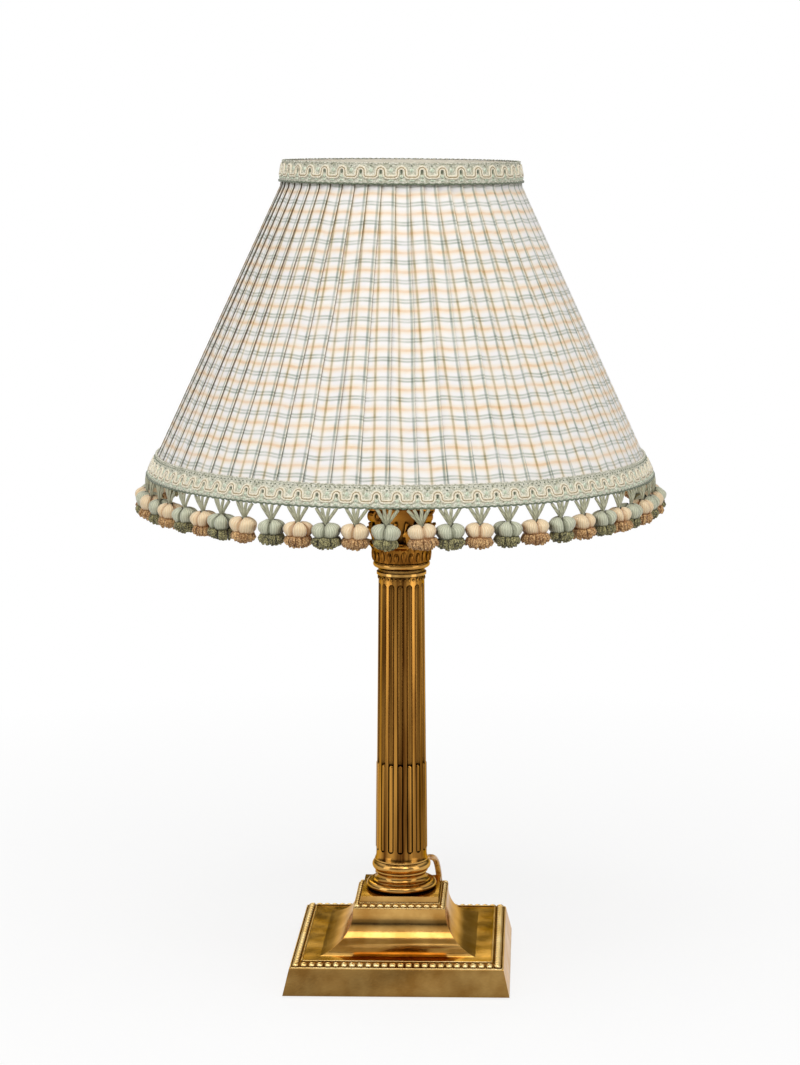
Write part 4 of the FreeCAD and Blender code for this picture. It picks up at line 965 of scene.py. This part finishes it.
def carved_leaf(shape, turn, height, foot, half):
    """Acanthus leaf over a plain one: ribs run up it, its edge is lobed and its tip curls over."""
    rows = []
    for j in range(LEAF_ROWS):
        t = j / (LEAF_ROWS - 1)
        if t < LEAF_TURN:
            share = t / LEAF_TURN
            z = height * 0.93 * share
            lean = foot + 1.35 + 0.6 * share + 2.9 * max(0.0, share - 0.45) ** 1.6 / 0.384
        else:
            bend = math.pi * (t - LEAF_TURN) / (1 - LEAF_TURN) * 0.9
            z = height * 0.93 + 1.1 * math.sin(bend)
            lean = foot + 4.85 + 1.3 * (1 - math.cos(bend)) / 2
        wide = half * (0.8 + 0.2 * math.sin(math.pi * t)) * (1 - 0.62 * max(0.0, t - 0.72) / 0.28)
        wide *= 1 + 0.10 * math.cos(5.5 * math.pi * t)
        row = []
        for i in range(LEAF_COLUMNS):
            u = 2 * i / (LEAF_COLUMNS - 1) - 1
            rib = 0.42 * abs(math.cos(3 * math.pi * u)) + 0.35 * math.exp(-(u / 0.12) ** 2)
            edge = -1.1 * max(0.0, abs(u) - 0.8) / 0.2
            angle = turn + u * wide / (foot + 2)
            row.append(polar(lean + rib + edge - 0.25, angle, BELL_Z + z - 0.9 * u * u * t))
        rows.append(row)
    shape.grid(rows)


def acanthus():
    """Two rows of leaves on the capital's bell, stalks between them and tongues at its foot."""
    shape = Shape()
    for k in range(8):
        carved_leaf(shape, TURN * k / 8, 13.0, BELL_R + 0.5, 5.5)
        carved_leaf(shape, TURN * (k + 0.5) / 8, 22.5, BELL_R + 0.4, 5.2)
    for k in range(STALKS):
        turn = TURN * (k + 0.5) / STALKS
        path = [polar(BELL_R + 1.0 + 0.05 * z, turn + 0.05 * math.sin(z * 0.3), BELL_Z + z)
                for z in (1, 6, 11, 16, 21, 25)]
        shape.tube(path, [polar(1, turn, 0)] * 6, [0.9, 0.8, 0.75, 0.8, 1.0, 1.2], 6)
    for k in range(TONGUES):
        turn = TURN * (k + 0.5) / TONGUES
        tall = 3.6 if k % 3 else 4.6
        shape.blob(polar(BELL_R + 2.1, turn, BELL_Z + tall), (sideways(turn), polar(1, turn, 0), UP),
                   (1.55, 0.95, tall - 0.4))
    shape.piece("acanthus", [BRASS_UNDER_SHADE], "stand")


def neck_drops():
    """Small drops between the flutes' heads and along the collar's hollow."""
    shape = Shape()
    for k in range(DROPS):
        turn = TURN * k / DROPS - math.pi / 2
        tall = 1.3 if k % 2 == 0 else 0.8
        shape.blob(polar(DROP_R, turn, COLLAR_Z - 2.1), (sideways(turn), polar(1, turn, 0), UP),
                   (0.95, 0.55, tall))
    shape.piece("neck_drops", [BRASS_DRAWN_SHADED], "stand")


cloth = shade_cloth()
trim_low = braid("braid_bottom", "gimp_bottom", RIM_Z, BRAID_LOW_H, 84, 0.45, 0.49, 2.4)
trim_high = braid("braid_top", "gimp_top", TOP_Z - BRAID_TOP_H, BRAID_TOP_H, 38, 0.3, 0.57, 2.7)
green = fringe("silk_green", "tassels_green", 0, GREEN, GREEN_CUT_SHADED, 21)
peach = fringe("silk_peach", "tassels_peach", 1, PEACH, PEACH_CUT_SHADED, 22)
lining()
felt()
beads("slab_beads", 60.75, 17.9, 2.6 / 7.5, 4.8, (2.25, 2.3, 1.5))
beads("plinth_beads", 26.1, 44.3, 2.2 / 2.55, 4.7, (2.1, 1.4, 1.1))
fillets()
acanthus()
neck_drops()


# ---- floor and light ----------------------------------------------------------------------------

SEEING_RAYS = ("Is Camera Ray", "Is Glossy Ray", "Is Transmission Ray")
FLOOR_R = 0.9           # metres
FLOOR_DROP = 0.0002
DIM = 0.24              # the world's light on the object


def seen_by(tree, *kinds):
    """1 for rays of these kinds, such as the camera's own."""
    path = tree.nodes.new("ShaderNodeLightPath")
    found = path.outputs[kinds[0]]
    for other in kinds[1:]:
        most = tree.nodes.new("ShaderNodeMath")
        most.operation = "MAXIMUM"
        tree.links.new(found, most.inputs[0])
        tree.links.new(path.outputs[other], most.inputs[1])
        found = most.outputs[0]
    return found


def make_floor():
    """White table top that keeps the shadow and runs out into plain white."""
    bpy.ops.mesh.primitive_circle_add(vertices=96, radius=FLOOR_R, fill_type="NGON",
                                      location=(0, 0.1, -FLOOR_DROP))
    floor = bpy.context.active_object
    floor.name = "floor"
    f = Finish("floor")
    near = f.node("VectorMath", {0: f.place}, operation="LENGTH").outputs["Value"]
    far = f.span(near, 0.12, 0.7, 0.82, 1.0)
    f.set(Base_Color=(0.9, 0.9, 0.9, 1.0), Roughness=0.9, Specular_IOR_Level=0.1)
    glow = f.node("Emission", {"Color": (1, 1, 1, 1), "Strength": 1.0}).outputs[0]
    share = f.sum("MULTIPLY", far, seen_by(f.tree, *SEEING_RAYS))
    mixed = f.node("MixShader", {0: share, 1: f.shader.outputs[0], 2: glow})
    f.feed(f.tree.nodes["Material Output"].inputs[0], mixed.outputs[0])
    floor.data.materials.append(f.material)


def make_world():
    """Studio with a pale sweep low all round, soft grey walls and a pale ceiling.

    Camera, metal and glass see the same studio; the object is lit by the plain dim light.
    """
    world = bpy.data.worlds.new("studio")
    world.use_nodes = True
    scene.world = world
    tree = world.node_tree
    tree.nodes.clear()

    def add(kind, values, **settings):
        made = tree.nodes.new("ShaderNode" + kind)
        for key, value in settings.items():
            setattr(made, key, value)
        for key, value in values.items():
            if isinstance(value, bpy.types.NodeSocket):
                tree.links.new(value, made.inputs[key])
            else:
                made.inputs[key].default_value = value
        return made.outputs

    place = add("TexCoord", {})["Generated"]
    way = add("SeparateXYZ", {0: place})
    behind = add("MapRange", {0: way[1], 1: -0.35, 2: 0.3})[0]
    low = add("MapRange", {0: way[2], 1: 0.17, 2: 0.04})[0]
    high = add("MapRange", {0: way[2], 1: 0.38, 2: 0.62})[0]
    patches = add("TexNoise", {"Vector": place, "Scale": 3.1, "Detail": 1.0})[0]
    room = add("MapRange", {0: patches, 1: 0.38, 2: 0.62, 3: 0.03, 4: 0.36})[0]
    front = add("MapRange", {0: patches, 1: 0.38, 2: 0.62, 3: 0.6, 4: 0.9})[0]
    sweep = add("Mix", {0: behind, 2: front, 3: 1.0}, data_type="FLOAT")[0]
    walls = add("Mix", {0: low, 2: room, 3: sweep}, data_type="FLOAT")[0]
    studio = add("Mix", {0: high, 2: walls, 3: 0.95}, data_type="FLOAT")[0]
    dim = add("Background", {"Color": (1.0, 0.97, 0.93, 1.0), "Strength": DIM})[0]
    seen = add("Background", {"Color": (1, 1, 1, 1), "Strength": studio})[0]
    mixed = add("MixShader", {0: seen_by(tree, *SEEING_RAYS), 1: dim, 2: seen})[0]
    add("OutputWorld", {0: mixed})


def softbox(name, place, aim_z, wide, tall, watts):
    """Rectangular lamp that faces a point on the column's middle line."""
    data = bpy.data.lights.new(name, "AREA")
    data.shape = "RECTANGLE"
    data.size = wide
    data.size_y = tall
    data.energy = watts
    lamp = bpy.data.objects.new(name, data)
    scene.collection.objects.link(lamp)
    lamp.location = place
    lamp.rotation_euler = (UP * aim_z - Vector(place)).to_track_quat("-Z", "Y").to_euler()


make_floor()
make_world()
softbox("overhead", (-0.1, -0.8, 1.9), 0.2, 1.8, 1.5, 23)
softbox("left", (-1.7, -1.0, 0.6), 0.3, 0.9, 2.2, 9)
softbox("right", (1.75, -0.9, 0.6), 0.3, 0.9, 2.2, 9)
softbox("front", (0.9, -2.3, 2.1), 0.35, 0.9, 0.9, 9)
softbox("behind", (-0.4, 2.4, 1.5), 0.3, 1.2, 1.2, 9)
